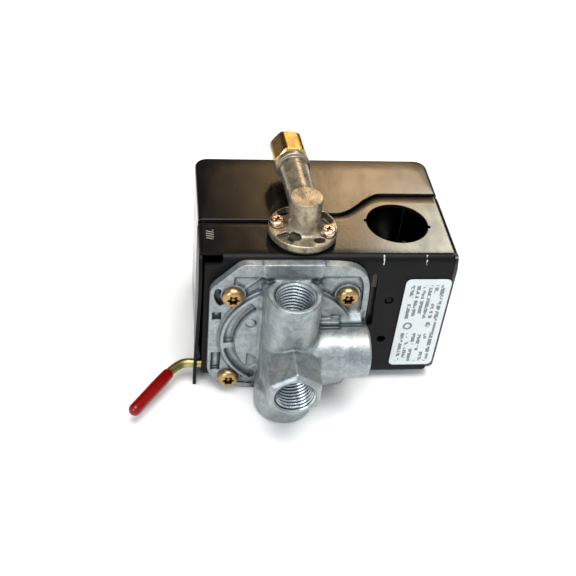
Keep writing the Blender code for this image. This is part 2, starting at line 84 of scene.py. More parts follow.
camera = bpy.data.objects.new("camera", bpy.data.cameras.new("camera"))
bpy.context.scene.collection.objects.link(camera)
camera.data.lens, camera.data.sensor_width, camera.data.clip_start = 58.3, 36.0, 0.01
turned_axes = np.stack([camera_x, camera_y, -forward], axis=1)
camera.matrix_world = Matrix.Translation(row(CAMERA_AT)) @ Matrix(turned_axes.tolist()).to_4x4()
bpy.context.scene.camera = camera
print("camera at", np.round(row(CAMERA_AT), 4))

# %% [markdown]
# ## Shader arithmetic
#
# A finish is a small calculation on the place of a point. Drawing dozens of nodes by hand hides that
# calculation, so a wrapped socket carries the arithmetic signs and each sign adds one Math node.

# %% A socket that can be added and multiplied


class Wire:
    """One output socket of a finish. Arithmetic on it makes Math nodes."""

    def __init__(self, finish, socket):
        self.finish, self.socket = finish, socket

    def math(self, operation, *values):
        return self.finish.node("ShaderNodeMath", {"operation": operation}, dict(enumerate(values)))

    def __add__(self, other):
        return self.math("ADD", self, other)

    def __sub__(self, other):
        return self.math("SUBTRACT", self, other)

    def __rsub__(self, other):
        return self.math("SUBTRACT", other, self)

    def __mul__(self, other):
        return self.math("MULTIPLY", self, other)

    def __gt__(self, other):
        return self.math("GREATER_THAN", self, other)

    def __lt__(self, other):
        return self.math("LESS_THAN", self, other)

    def __mod__(self, other):
        return self.math("FLOORED_MODULO", self, other)

    __radd__, __rmul__ = __add__, __mul__

    def abs(self):
        return self.math("ABSOLUTE", self)

    def max(self, other):
        return self.math("MAXIMUM", self, other)

    def step(self, low, high):
        """0 below low, 1 above high, and a smooth rise between them."""
        return self.finish.node(
            "ShaderNodeMapRange", {"interpolation_type": "SMOOTHSTEP"}, {"Value": self, 1: low, 2: high})


# %% [markdown]
# A finish is one material. It starts with the shader and the point's own place in millimetres, and it
# offers one way to add any node: a type, the settings that come first, then what goes into its sockets.

# %% A finish and its nodes


class Finish:
    """A material under construction, with the place of the shaded point in case millimetres."""

    def __init__(self, name, **constants):
        self.material = bpy.data.materials.new(name)
        self.material.use_nodes = True
        self.tree = self.material.node_tree
        self.shader = self.tree.nodes["Principled BSDF"]
        for socket, value in constants.items():
            self.shader.inputs[socket.replace("_", " ")].default_value = value
        place = self.node("ShaderNodeTexCoord", {}, {}, "Object")
        scaled = self.node("ShaderNodeVectorMath", {"operation": "SCALE"}, {0: place, "Scale": 1 / MM})
        self.place = self.node(
            "ShaderNodeVectorMath", {"operation": "SUBTRACT"}, {0: scaled, 1: tuple(CORNER)})

    def node(self, kind, settings, sockets, output=0):
        """Adds a node, makes its settings, then fills its sockets with values or with other wires."""
        made = self.tree.nodes.new(kind)
        for setting, value in settings.items():
            setattr(made, setting, value)
        for key, value in sockets.items():
            if isinstance(value, Wire):
                self.tree.links.new(value.socket, made.inputs[key])
            else:
                made.inputs[key].default_value = value
        return Wire(self, made.outputs[output])

    def along(self, stretch):
        """The place with each axis scaled, which stretches a pattern."""
        return self.node("ShaderNodeVectorMath", {"operation": "MULTIPLY"}, {0: self.place, 1: stretch})

    def axes(self):
        """The place's three numbers, each as a wire."""
        return [self.node("ShaderNodeSeparateXYZ", {}, {0: self.place}, axis) for axis in "XYZ"]

    def noise(self, size, detail=3.0, roughness=0.55, place=None, distortion=0.0):
        """Cloudy noise from 0 to 1 whose main lumps are about size millimetres across."""
        return self.node("ShaderNodeTexNoise", {}, {
            "Vector": place or self.place, "Scale": 1 / size, "Detail": detail, "Roughness": roughness,
            "Distortion": distortion})

    def mix(self, factor, first, second):
        """The first colour where the factor is 0 and the second where it is 1."""
        return self.node("ShaderNodeMix", {"data_type": "RGBA"}, {"Factor": factor, 6: first, 7: second}, 2)

    def bump(self, height, distance, over=None):
        """A Bump node for a height from 0 to 1 that stands for distance millimetres, laid over another."""
        sockets = {"Height": height, "Distance": distance * MM, "Strength": 1.0}
        if over:
            sockets["Normal"] = over
        return self.node("ShaderNodeBump", {}, sockets)

    def done(self, **sockets):
        """Feeds the shader's varying inputs and returns the material."""
        for key, value in sockets.items():
            self.tree.links.new(value.socket, self.shader.inputs[key.replace("_", " ")])
        return self.material


def rgb(red, green, blue):
    """A colour as the sockets want it, with its alpha."""
    return (red, green, blue, 1.0)


print("shader tools ready")

# %% [markdown]
# ## The finishes
#
# The cover is dipped in glossy black enamel. Real enamel is never a mirror: it has a faint orange peel,
# slow waves where the sheet isn't flat, dust, and fine rubbing marks that open the gloss a little. The
# port plate is duller, and its upper fold has two nicks where the paint has gone down to bright metal.

# %% Gloss black enamel


def enamel(name, gloss, specular, peel, chips=False):
    """Black paint: dark base, smears and dust, two bumps, and either nicks on a fold or a stamped mark."""
    f = Finish(name, **{"Specular IOR Level": specular, "IOR": 1.55})
    smear = f.noise(9.0, 4, 0.6, f.along((1.0, 0.35, 0.6)))
    dust = f.noise(0.35, 2).step(0.70, 0.78)
    colour = f.mix(f.noise(14.0, 3), rgb(0.0020, 0.0022, 0.0025), rgb(0.0055, 0.0058, 0.0060))
    colour = f.mix(dust * 0.18, colour, rgb(0.10, 0.09, 0.08))
    if chips:
        across, _, up = f.axes()
        nick = ((across - 62.5).abs() < 0.22).max((across - 77.5).abs() < 0.22)
        nick = nick * ((up - 58.2).abs() < 1.6) * (f.noise(0.9, 2) > 0.47)
        colour = f.mix(nick, colour, rgb(0.45, 0.46, 0.46))
    else:
        across, back, up = f.axes()
        stamp = ((across - 4.1).abs() < 1.3) * ((back - 12.2).abs() < 2.5) * (up > 59.5)
        stroke = ((back + across * 0.35) % 1.25) < 0.4
        colour = f.mix(stamp * stroke, colour, rgb(0.30, 0.28, 0.24))
    rough = smear.step(0.35, 0.75) * 0.10 + gloss + dust * 0.15
    waves = f.bump(f.noise(16.0, 1), 0.10)
    skin = f.bump(f.noise(1.3, 3, 0.6), 0.014 * peel, waves)
    return f.done(Base_Color=colour, Roughness=rough, Normal=skin)


gloss_black = enamel("gloss_black_enamel", 0.12, 0.5, 1.0)
satin_black = enamel("satin_black_enamel", 0.34, 0.09, 2.0, chips=True)
print(gloss_black.name, satin_black.name)

# %% [markdown]
# Zinc comes out of the die with a thin, hard skin. Its grey is mottled by the flow of the metal, and the
# corners get painted shade. The pieces store how sheltered each point is in an attribute called painted_shade,
# which a material reads as painted shade in its colour without tracing a single extra ray.

# %% Die-cast zinc


def cast_zinc_finish(name, light, dark, warm, rough_base=0.24, specks=1.0):
    """Cast metal: mottled grey, painted shade where the painted_shade attribute is high, and a pebbled bump.
    """
    f = Finish(name, Metallic=0.72)
    painted_shade = f.node("ShaderNodeAttribute", {"attribute_name": "painted_shade"}, {}, "Fac")
    mottle = f.noise(3.2, 5, 0.62, None, 0.6)
    speck = f.noise(0.55, 3, 0.6)
    colour = f.mix(mottle.step(0.3, 0.72), dark, light)
    colour = f.mix(f.noise(11.0, 2).step(0.45, 0.75) * 0.45, colour, warm)
    colour = f.mix(speck.step(0.56, 0.72) * (0.5 * specks), colour, rgb(0.50, 0.55, 0.57))
    colour = f.mix((1.0 - speck).step(0.58, 0.72) * (0.4 * specks), colour, rgb(0.10, 0.12, 0.125))
    # painted shade: corners and hollows run to dark blue-grey by the painted_shade attribute
    colour = f.mix(painted_shade.step(0.06, 0.66) * 0.9, colour, rgb(0.016, 0.024, 0.030))
    rough = mottle * 0.20 + speck * 0.12 + rough_base + painted_shade * 0.2
    flow = f.bump(f.noise(2.4, 3, 0.5), 0.10)
    grain = f.bump(speck, 0.05, flow)
    return f.done(Base_Color=colour, Roughness=rough, Normal=grain)


cast_zinc = cast_zinc_finish(
    "die_cast_zinc", rgb(0.33, 0.37, 0.385), rgb(0.19, 0.215, 0.228), rgb(0.33, 0.31, 0.28))
warm_zinc = cast_zinc_finish(
    "valve_cast_zinc", rgb(0.47, 0.40, 0.285), rgb(0.20, 0.17, 0.125), rgb(0.50, 0.36, 0.22), 0.12, 0.35)
print(cast_zinc.name, warm_zinc.name)

# %% [markdown]
# Threads are cut, not cast, so their flanks are clean, bright and finely lined across the tool's path; their
# roots get painted shade.

# %% Cut zinc for the threads
f = Finish("cut_zinc_thread", Metallic=0.9)
lines = f.noise(0.30, 2)
# painted shade: the thread roots run to near black, read from the painted_shade attribute
groove_shade = f.node("ShaderNodeAttribute", {"attribute_name": "painted_shade"}, {}, "Fac")
flank = f.mix(lines, rgb(0.30, 0.36, 0.40), rgb(0.62, 0.68, 0.70))
cut_zinc = f.done(
    Base_Color=f.mix(groove_shade.step(0.25, 0.85), flank, rgb(0.008, 0.014, 0.020)),
    Roughness=lines * 0.15 + 0.18, Normal=f.bump(lines, 0.004))
print(cut_zinc.name)

# %% [markdown]
# Screws and the lever's rod are zinc plated and dipped in yellow chromate. The dip leaves a thin film that
# runs from straw to rose and green, which a second, slower noise lays over the gold; pale specks are painted
# highlights, and the driver recesses get painted shade.

# %% Yellow chromate


def chromate(name, gold, rose, green, rough_base):
    """Chromated steel: gold, with patches of rose and green, pale specks of painted highlight, painted shade
    in recesses, and a fine bump from the plating.
    """
    f = Finish(name, Metallic=1.0)
    tint = f.noise(2.2, 3, 0.6)
    colour = f.mix(tint.step(0.50, 0.68), gold, rose)
    colour = f.mix(f.noise(3.1, 2).step(0.55, 0.75) * 0.7, colour, green)
    # painted highlight: pale gold specks scattered by noise
    colour = f.mix(f.noise(0.5, 2).step(0.62, 0.75) * 0.5, colour, rgb(0.75, 0.62, 0.40))
    # painted shade: the driver recess runs to dark brown by the painted_shade attribute
    recess = f.node("ShaderNodeAttribute", {"attribute_name": "painted_shade"}, {}, "Fac")
    colour = f.mix(recess.step(0.15, 0.8) * 0.85, colour, rgb(0.03, 0.016, 0.008))
    rough = f.noise(0.8, 3) * 0.18 + rough_base
    return f.done(Base_Color=colour, Roughness=rough, Normal=f.bump(f.noise(0.45, 2), 0.02))


gold_chromate = chromate(
    "gold_chromate_screw", rgb(0.40, 0.265, 0.12), rgb(0.36, 0.175, 0.085), rgb(0.22, 0.20, 0.10), 0.22)
rod_chromate = chromate(
    "yellow_chromate_rod", rgb(0.44, 0.40, 0.17), rgb(0.40, 0.30, 0.13), rgb(0.24, 0.27, 0.13), 0.22)
rose_chromate = chromate(
    "rose_chromate_screw", rgb(0.66, 0.50, 0.38), rgb(0.62, 0.36, 0.26), rgb(0.46, 0.38, 0.28), 0.14)
print(gold_chromate.name, rod_chromate.name, rose_chromate.name)

# %% [markdown]
# The nut is machined from brass bar: turned faces with fine tool lines, and corners worn brighter.

# %% Machined brass


def brass_finish(name, bright, deep):
    """Brass with lines across the nut's axis, which lies almost along Y, and slow tarnish."""
    f = Finish(name, Metallic=1.0)
    lines = f.noise(0.22, 2, 0.5, f.along((0.12, 1.0, 0.12)))
    tarnish = f.noise(4.5, 4, 0.6)
    colour = f.mix(tarnish.step(0.42, 0.72), bright, deep)
    rough = lines * 0.10 + tarnish * 0.10 + 0.16
    return f.done(Base_Color=colour, Roughness=rough, Normal=f.bump(lines, 0.010))


brass = brass_finish("machined_brass", rgb(0.66, 0.42, 0.15), rgb(0.42, 0.22, 0.06))
print(brass.name)

# %% [markdown]
# The lever's grip is dipped in vinyl while it is hot, so it has a wet gloss over soft ripples.

# %% Red vinyl
f = Finish("red_vinyl_dip", **{
    "IOR": 1.5, "Specular IOR Level": 0.25, "Coat Weight": 0.12, "Coat Roughness": 0.06})
ripple = f.noise(2.6, 2)
red_vinyl = f.done(
    Base_Color=f.mix(f.noise(5.0, 3), rgb(0.13, 0.0003, 0.0005), rgb(0.21, 0.0005, 0.0008)),
    Roughness=f.noise(0.9, 2) * 0.12 + 0.16,
    Normal=f.bump(f.noise(0.5, 2), 0.01, f.bump(ripple, 0.10)))
print(red_vinyl.name)

# %% [markdown]
# The inner works are plated steel strip, moulded phenolic and rubber. Each gets the grain that its making
# leaves: drawn lines on the strip, a flow speckle in the moulding and a fine bloom on the rubber.

# %% Steel, phenolic and rubber
f = Finish("plated_steel_strip", Metallic=1.0)
drawn = f.noise(0.5, 3, 0.6, f.along((0.25, 1.0, 1.6)))
steel = f.done(
    Base_Color=f.mix(f.noise(4.0, 3), rgb(0.42, 0.43, 0.44), rgb(0.62, 0.62, 0.60)),
    Roughness=drawn * 0.22 + 0.2, Normal=f.bump(drawn, 0.012))

f = Finish("moulded_phenolic_brown", IOR=1.55)
speckle = f.noise(0.45, 3, 0.7)
phenolic = f.done(
    Base_Color=f.mix(speckle.step(0.5, 0.75), rgb(0.020, 0.014, 0.011), rgb(0.07, 0.045, 0.03)),
    Roughness=speckle * 0.25 + 0.28, Normal=f.bump(speckle, 0.02))

f = Finish("black_rubber", IOR=1.5)
bloom = f.noise(1.2, 4, 0.6)
rubber = f.done(
    Base_Color=f.mix(bloom, rgb(0.012, 0.012, 0.012), rgb(0.045, 0.044, 0.042)),
    Roughness=bloom * 0.2 + 0.5, Normal=f.bump(f.noise(0.3, 2), 0.02))
print(steel.name, phenolic.name, rubber.name)

# %% [markdown]
# The rating label is thin white film. Its print can't be read here and isn't meant to be: rows of short
# grey dashes run up the label, with a ring and a blot where an approval mark would be.

# %% Printed label
f = Finish("printed_label_film", IOR=1.45)
across, _, up = f.axes()
LABEL_LEFT, LABEL_PITCH = 73.4, 2.15
column = (across - LABEL_LEFT) * (1 / LABEL_PITCH)
line = column.math("FLOOR", column)
in_line = ((column % 1.0) - 0.5).abs() < 0.30
strokes = f.node("ShaderNodeCombineXYZ", {}, {"X": line * 7.31, "Y": up * 0.85, "Z": across * 0.6})
words = f.node("ShaderNodeCombineXYZ", {}, {"X": line * 3.17, "Y": up * 0.21})
marks = (f.noise(1.0, 1, 0.5, strokes) > 0.46) * (f.noise(1.0, 0, 0.5, words) > 0.40) * in_line
blocks = ((up - 39.8).abs() < 8.0).max((up - 17.4).abs() < 7.4)
inside = ((across - 79.2).abs() < 6.2) * blocks


def from_spot(spot_x, spot_z, squeeze=1.0):
    """Distance from a point of the label, with the label's width squeezed or stretched."""
    offset = f.node("ShaderNodeCombineXYZ", {}, {"X": (across - spot_x) * squeeze, "Y": up - spot_z})
    return f.node("ShaderNodeVectorMath", {"operation": "LENGTH"}, {0: offset}, "Value")


ring = (from_spot(75.6, 28.2) - 1.35).abs() < 0.42
blot = (from_spot(83.0, 28.8, 1.4) < 1.4) * (f.noise(0.7, 1) > 0.42)
side_line = ((across - 85.6).abs() < 0.45) * (f.noise(1.0, 1, 0.5, f.along((0.0, 0.0, 0.8))) > 0.45)
print_mask = (marks * inside).max(ring).max(blot).max(side_line * ((up - 29.0).abs() < 18.0))
ink = f.mix(f.noise(1.5, 2), rgb(0.10, 0.11, 0.14), rgb(0.22, 0.23, 0.27))
film = f.mix(f.noise(6.0, 3), rgb(0.50, 0.54, 0.55), rgb(0.60, 0.64, 0.64))
label_film = f.done(
    Base_Color=f.mix(print_mask, film, ink), Roughness=f.noise(2.0, 2) * 0.15 + 0.35,
    Normal=f.bump(f.noise(3.0, 2), 0.02))
print(label_film.name)

# %% [markdown]
# ## Surfaces from numbers
#
# Every new piece is a grid of points worked out as whole arrays. The faces between neighbouring rows and
# columns follow one rule, so it is written once. Poles and seams fall together when doubles are merged,
# and then the outside is found again, because a merged grid no longer says which way it faces.

# %% Grids of faces, and a piece made from them


def grid_faces(rows, columns, loop_rows=False, loop_columns=False):
    """The four corner numbers of each face between neighbouring rows and columns."""
    r = np.arange(rows if loop_rows else rows - 1)[:, None]
    c = np.arange(columns if loop_columns else columns - 1)[None, :]
    r2, c2 = (r + 1) % rows, (c + 1) % columns
    corners = (r * columns + c, r * columns + c2, r2 * columns + c2, r2 * columns + c)
    return np.stack(np.broadcast_arrays(*corners), -1).reshape(-1, 4)


def mesh_of(name, *sheets, sharp=35, painted_shade=None):
    """One mesh from (points, faces) sheets: joined, merged where they meet, and turned to face out."""
    starts = np.cumsum([0] + [len(points) for points, _ in sheets])
    points = np.concatenate([row(points) for points, _ in sheets])
    mesh = bpy.data.meshes.new(name)
    faces = [face for start, (_, part) in zip(starts, sheets) for face in (part + start).tolist()]
    mesh.from_pydata(points.tolist(), [], faces)
    # painted_shade, if given, is kept per point for a finish to darken by as painted shade
    if painted_shade is not None:
        mesh.attributes.new("painted_shade", "FLOAT", "POINT").data.foreach_set("value", painted_shade.ravel())
    bm = bmesh.new()
    bm.from_mesh(mesh)
    bmesh.ops.remove_doubles(bm, verts=bm.verts, dist=4e-6)
    bmesh.ops.dissolve_degenerate(bm, edges=bm.edges, dist=1e-6)
    bmesh.ops.recalc_face_normals(bm, faces=bm.faces)
    bm.to_mesh(mesh)
    bm.free()
    mesh.shade_smooth()
    mesh.set_sharp_from_angle(angle=math.radians(sharp))
    return mesh


def piece(name, mesh, finish, body, slot, *stands_for):
    """Puts a mesh in the scene as a piece of the switch."""
    made = bpy.data.objects.new(name, mesh)
    bpy.context.scene.collection.objects.link(made)
    mesh.materials.clear()
    mesh.materials.append(finish)
    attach(made, body)
    if stands_for:
        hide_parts(*stands_for)
    print(f"{name}: {len(mesh.vertices)} points, rides on {body}")
    return made


def arc(centre, radius, start, end, steps):
    """Points along an arc: centre + radius (cos a, sin a), from one angle to the other in degrees."""
    a = np.radians(np.linspace(start, end, steps))
    return np.stack([centre[0] + radius * np.cos(a), centre[1] + radius * np.sin(a)], -1)


def between(first, last, steps):
    """Evenly spaced points on the straight line from first to last."""
    t = np.linspace(0, 1, steps)[:, None]
    return np.asarray(first) * (1 - t) + np.asarray(last) * t


def ease(t):
    """0 before 0, 1 after 1, and the smooth curve 3t^2 - 2t^3 between."""
    t = np.clip(t, 0, 1)
    return t * t * (3 - 2 * t)


print("surface tools ready")

# %% [markdown]
# ## The cover
#
# The cover is drawn sheet: a tray slid over the back of the frame. Its front edge isn't straight. It steps
# back twice across the top, and the same curve is cut on the frame, so the seam is written as a function.

# %% Sheet sizes and the seam
CASE_W, CASE_H, CASE_D, SHEET, GAP = 89.1, 60.0, 58.6, 1.2, 0.3


def seam(x):
    """How far back the frame's top ends: 20.3 mm, rising smoothly to 24.3 and then to 36.2."""
    return 20.3 + 4.0 * ease((x - 28.0) / 12.0) + 11.9 * ease((x - 49.5) / 18.0)


print("seam at left, middle, right:", seam(0.0), seam(45.0), seam(CASE_W))

# %% [markdown]
# One parameter runs round the tray's outline, from the left front, round the back to the right front. The
# other climbs a section: in over the bottom, round the lower edge, up the wall, round the upper edge and
# in over the top to the seam. A Solidify modifier gives the sheet its thickness and a Bevel breaks its rim.

# %% The cover as a ruled surface


def cover_sheet(edge=1.25, corner=4.8):
    """Outline point O(u) with inward normal n(u), section offsets, and straight rulings to the seam S(u)."""
    left, right, back = GAP, CASE_W - GAP, CASE_D
    start, end = seam(left) + GAP, seam(right) + GAP
    outline = np.concatenate([
        between((left, start), (left, back - corner), 26),
        arc((left + corner, back - corner), corner, 180, 90, 12)[1:],
        between((left + corner, back), (right - corner, back), 34)[1:],
        arc((right - corner, back - corner), corner, 90, 0, 12)[1:],
        between((right, back - corner), (right, end), 20)[1:]])
    ahead = np.gradient(outline, axis=0)
    ahead /= np.linalg.norm(ahead, axis=1, keepdims=True)
    inward = np.stack([ahead[:, 1], -ahead[:, 0]], -1)
    inward[0], inward[-1] = (1, 0), (-1, 0)
    inner = outline + inward * edge
    seam_x = np.linspace(left + edge, right - edge, len(outline))
    on_seam = np.stack([seam_x, seam(seam_x) + GAP], -1)
    inner[0], inner[-1] = on_seam[0], on_seam[-1]
    inner[1:-1, 1] = np.maximum(inner[1:-1, 1], seam(inner[1:-1, 0]) + GAP + 0.05)
    turn = np.radians(np.linspace(0, 90, 7))
    ring = []
    for t in np.linspace(0, 1, 5)[:-1]:
        ring.append((on_seam * (1 - t) + inner * t, 0.0))
    ring += [(outline + (inner - outline) * (1 - np.sin(a)), edge * (1 - np.cos(a))) for a in turn]
    ring += [(outline, z) for z in np.linspace(edge, CASE_H - edge, 9)[1:-1]]
    ring += [(outline + (inner - outline) * (1 - np.cos(a)), CASE_H - edge * (1 - np.sin(a))) for a in turn]
    for t in np.linspace(0, 1, 5)[1:]:
        ring.append((inner * (1 - t) + on_seam * t, CASE_H))
    points = np.stack([np.column_stack([plan, np.full(len(plan), z)]) for plan, z in ring])
    return points.reshape(-1, 3), grid_faces(len(ring), len(outline))


def thicken(made, thickness, rim=0.22):
    """Solidify inwards and a small two-step bevel on the sheet's cut edges."""
    wall = made.modifiers.new("sheet", "SOLIDIFY")
    wall.thickness, wall.offset, wall.use_even_offset = thickness * MM, -1, True
    if rim:
        edge = made.modifiers.new("rim", "BEVEL")
        edge.width, edge.segments, edge.limit_method = rim * MM, 2, "ANGLE"
        edge.angle_limit, edge.harden_normals = math.radians(50), True
    return made


def face_outwards(mesh, middle):
    """Turns an open sheet over if its faces look towards the middle of the case rather than away."""
    centres = np.zeros(len(mesh.polygons) * 3)
    normals = np.zeros(len(mesh.polygons) * 3)
    mesh.polygons.foreach_get("center", centres)
    mesh.polygons.foreach_get("normal", normals)
    away = centres.reshape(-1, 3) - row(middle)
    if (away * normals.reshape(-1, 3)).sum() < 0:
        mesh.flip_normals()
    return mesh


CASE_MIDDLE = (44.0, 28.0, 30.0)
cover_mesh = face_outwards(mesh_of("cover_shell", cover_sheet()), CASE_MIDDLE)
thicken(piece("cover_shell", cover_mesh, gloss_black, "cover", "black_paint", "cover"), 1.1)

# %% [markdown]
# ## The base frame
#
# The frame is one strip folded into a U. Its section runs forward under the case, up the port plate, back
# over the top, and then steps down by a sheet's thickness so that its tongue can slide in under the cover.
# Across the case the section only changes where the seam moves, so the same two parameters serve again.

# %% The folded strip
PLATE_BOTTOM, TONGUE, STEP = 3.6, 9.0, SHEET + GAP
TOP_BEND, BOTTOM_BEND = 2.5, 2.0


def strip_section(x):
    """(depth, height) along the strip at each x: depth is fixed up to the top, then follows the seam."""
    full = np.ones_like(x)
    back = seam(np.clip(x, 5, CASE_W - 5))
    path = [(d * full, h * full) for d, h in np.concatenate([
        between((45.0, PLATE_BOTTOM), (BOTTOM_BEND, PLATE_BOTTOM), 4)[:-1],
        arc((BOTTOM_BEND, PLATE_BOTTOM + BOTTOM_BEND), BOTTOM_BEND, 270, 180, 7),
        between((0, PLATE_BOTTOM + BOTTOM_BEND), (0, CASE_H - TOP_BEND), 12)[1:-1],
        arc((TOP_BEND, CASE_H - TOP_BEND), TOP_BEND, 180, 90, 11)])]
    lip = back - 1.9
    path += [(TOP_BEND + (lip - TOP_BEND) * t, CASE_H * full) for t in np.linspace(0, 1, 9)[1:]]
    path += [(lip + 1.7 * t, CASE_H - STEP * ease(np.full_like(x, t))) for t in np.linspace(0, 1, 9)[1:]]
    path += [(lip + 1.7 + (TONGUE - 1.5) * t, (CASE_H - STEP) * full) for t in (0.5, 1.0)]
    return path


def strip_sheet():
    """Columns across the case and rows along the folded section; the lower right corner is rounded off."""
    x = np.concatenate([np.linspace(0, 1, 10)[:-1] * 26, 26 + np.linspace(0, 1, 36) * 60.8]) / 86.8
    path = strip_section(2.0 + x * 84.8)
    height = np.array([float(np.mean(h)) for _, h in path])[:, None]
    on_plate = (np.arange(len(path)) < 24)[:, None]
    right = np.where(on_plate, 87.6 - 2.6 * (1 - ease((height - PLATE_BOTTOM) / 4.0)), 86.8)
    right = np.where((np.arange(len(path)) < 4)[:, None], 84.4, right)
    across_x = 2.0 + x[None, :] * (right - 2.0)
    depth = np.stack([d for d, _ in path])
    tall = np.stack([np.broadcast_to(h, d.shape) for d, h in path])
    points = np.stack([across_x, depth, tall], -1)
    return points.reshape(-1, 3), grid_faces(*depth.shape)


strip_points, strip_faces = strip_sheet()
print("strip spans", strip_points.min(0).round(1), "to", strip_points.max(0).round(1))

# %% [markdown]
# The two side walls turn down from the top over a small bend. On the left the wall reaches forward past
# the plate, where the hand lever passes through it, and the corner between the three folds is relieved.

# %% The side walls


def side_wall(outer_x, inward, bend, foot, front, top_front, reach, round_foot, flare):
    """A section up the wall, round the bend and onto the top, carried from its front edge to the seam."""
    centre = (outer_x + inward * bend, CASE_H - bend)
    start, end = (180, 90) if inward > 0 else (0, 90)
    section = np.concatenate([
        between((outer_x, foot), (outer_x, CASE_H - bend), 16)[:-1], arc(centre, bend, start, end, 9),
        [(outer_x + inward * (bend + 0.3), CASE_H)]])
    t = np.linspace(0, 1, 22)[None, :]
    x, z = section[:, :1], section[:, 1:]
    first = front + (top_front - front) * ease((z - (CASE_H - bend - 1.2)) / 2.0)
    first = first + round_foot * (1 - ease((z - foot) / 2.2))
    step_at = seam(outer_x) - 1.9
    depth = first + (step_at - first) * np.clip(t / 0.7, 0, 1) + 1.7 * np.clip((t - 0.7) / 0.2, 0, 1)
    depth = depth + reach * np.clip((t - 0.9) / 0.1, 0, 1)
    drop = STEP * ease((t - 0.7) / 0.2)
    splay = flare * (1 - ease(z / 50.0)) * (1 - ease(t / 0.6))
    sideways = np.where(z < CASE_H - bend - 0.01, 1.0, (CASE_H - z) / bend)
    down = np.clip(1 - sideways, 0, 1)
    across = x + inward * drop * sideways - splay
    points = np.stack(np.broadcast_arrays(across, depth, z - drop * down), -1)
    return points.reshape(-1, 3), grid_faces(len(section), 22)


left_wall = side_wall(0.0, 1, 1.7, 0.0, -1.5, 2.8, 7.0, 0.5, 1.0)
right_wall = side_wall(CASE_W, -1, 2.0, PLATE_BOTTOM, 0.4, 2.6, 7.0, 2.2, 0.0)
print("side walls:", len(left_wall[0]), "and", len(right_wall[0]), "points")

# %% [markdown]
# The holes are punched after folding, so they are cut with Booleans: the conduit knockout and the valve's
# hole in the top, a long slot and two fixing holes in the plate, and the lever's hole in the left wall.
# The cutters are rods and outline prisms from the same grid rules. The plate and its fold then take the
# duller paint: a face does if its middle lies below the top and near the front.

# %% Punched holes


def prism(outline, axis, low, high):
    """An outline across an axis, carried from low to high, with its two ends closed to a middle point."""
    outline = np.asarray(outline, float)
    middle = np.broadcast_to(outline.mean(0), outline.shape)
    rings = [(middle, low), (outline, low), (outline, high), (middle, high)]
    turned = {"X": (2, 0, 1), "Y": (0, 2, 1), "Z": (0, 1, 2)}[axis]
    points = np.concatenate([np.column_stack([ring, np.full(len(ring), w)]) for ring, w in rings])
    return points[:, turned], grid_faces(4, len(outline), loop_columns=True)


def rod(centre, radius, axis, low, high, sides=40):
    """A round prism, which punches a round hole."""
    return prism(arc(centre, radius, 0, 360, sides + 1)[:-1], axis, low, high)


def punched(name, sheet, thickness, cutters, finish):
    """The sheet made solid, with each cutter taken out of it, as one finished mesh."""
    blank = bpy.data.objects.new(name, face_outwards(mesh_of(name, sheet), CASE_MIDDLE))
    bpy.context.scene.collection.objects.link(blank)
    thicken(blank, thickness, rim=0)
    tools = [bpy.data.objects.new("cutter", mesh_of("cutter", shape)) for shape in cutters]
    for tool in tools:
        bpy.context.scene.collection.objects.link(tool)
        cut = blank.modifiers.new("cut", "BOOLEAN")
        cut.operation, cut.solver, cut.object = "DIFFERENCE", "EXACT", tool
    graph = bpy.context.evaluated_depsgraph_get()
    graph.update()
    mesh = bpy.data.meshes.new_from_object(blank.evaluated_get(graph))
    for helper in (blank, *tools):
        bpy.data.objects.remove(helper)
    mesh.name = name
    mesh.shade_smooth()
    mesh.set_sharp_from_angle(angle=math.radians(35))
    made = piece(name, mesh, finish, "root", "black_paint", "base_frame")
    edge = made.modifiers.new("rim", "BEVEL")
    edge.width, edge.segments, edge.limit_method = 0.2 * MM, 2, "ANGLE"
    edge.angle_limit, edge.harden_normals = math.radians(55), True
    return made


KNOCKOUT, KNOCKOUT_R, VALVE, DIAPHRAGM = (70.3, 18.8), 11.1, (35.6, 12.1), (31.2, 26.6)
NIB_R, FIXING_R, VALVE_HOLE_R, PLATE_HOLE_R = 0.9, 1.6, 4.3, 12.0
slot_outline = np.concatenate([arc((61.4, 29.4), 1.0, 180, 360, 9), arc((60.4, 51.6), 1.0, 0, 180, 9)])
relief = prism([(1.0, 56.9), (7.0, 56.9), (8.0, 57.9), (8.0, 62.0), (1.0, 62.0)], "Y", -2.0, 2.6)
strip = punched("frame_folded_strip", (strip_points, strip_faces), SHEET, [
    rod(KNOCKOUT, KNOCKOUT_R, "Z", 57.0, 62.0, 72), rod((59.3, 20.4), NIB_R, "Z", 57.0, 62.0),
    rod((81.2, 16.8), NIB_R, "Z", 57.0, 62.0), rod(VALVE, VALVE_HOLE_R, "Z", 57.0, 62.0),
    rod(DIAPHRAGM, PLATE_HOLE_R, "Y", -1.0, 3.0), prism(slot_outline, "Y", -1.0, 3.0),
    rod((67.0, 40.3), FIXING_R, "Y", -1.0, 3.0), rod((67.0, 21.4), FIXING_R, "Y", -1.0, 3.0), relief],
    gloss_black)

DULL_BELOW, DULL_AHEAD_OF = (CASE_H - 0.005) * MM, row((0, 8, 0))[1]
strip.data.materials.append(satin_black)
centres = np.zeros(len(strip.data.polygons) * 3)
strip.data.polygons.foreach_get("center", centres)
_, back, height = centres.reshape(-1, 3).T
on_front = (height < DULL_BELOW) & (back < DULL_AHEAD_OF)
strip.data.polygons.foreach_set("material_index", on_front.astype(np.int32))
print("faces in the duller paint:", int(on_front.sum()))

LEVER_HOLE_AT, LEVER_HOLE_R = (3.0, 6.8), 2.7
lever_hole = rod(LEVER_HOLE_AT, LEVER_HOLE_R, "X", -2.0, 3.0)
punched("frame_left_wall", left_wall, SHEET, [lever_hole], satin_black)
punched("frame_right_wall", right_wall, SHEET, [], gloss_black)

# %% [markdown]
# ## The castings
#
# A casting has no sharp corner anywhere: every join between two shapes is a fillet left by the die. Such a
# body is easiest to state as a distance. Each simple shape gives, at any point, how far outside it the
# point lies; a smooth minimum joins two shapes with a fillet, and a smooth maximum cuts with a soft edge.

# %% Distances, joins and cuts


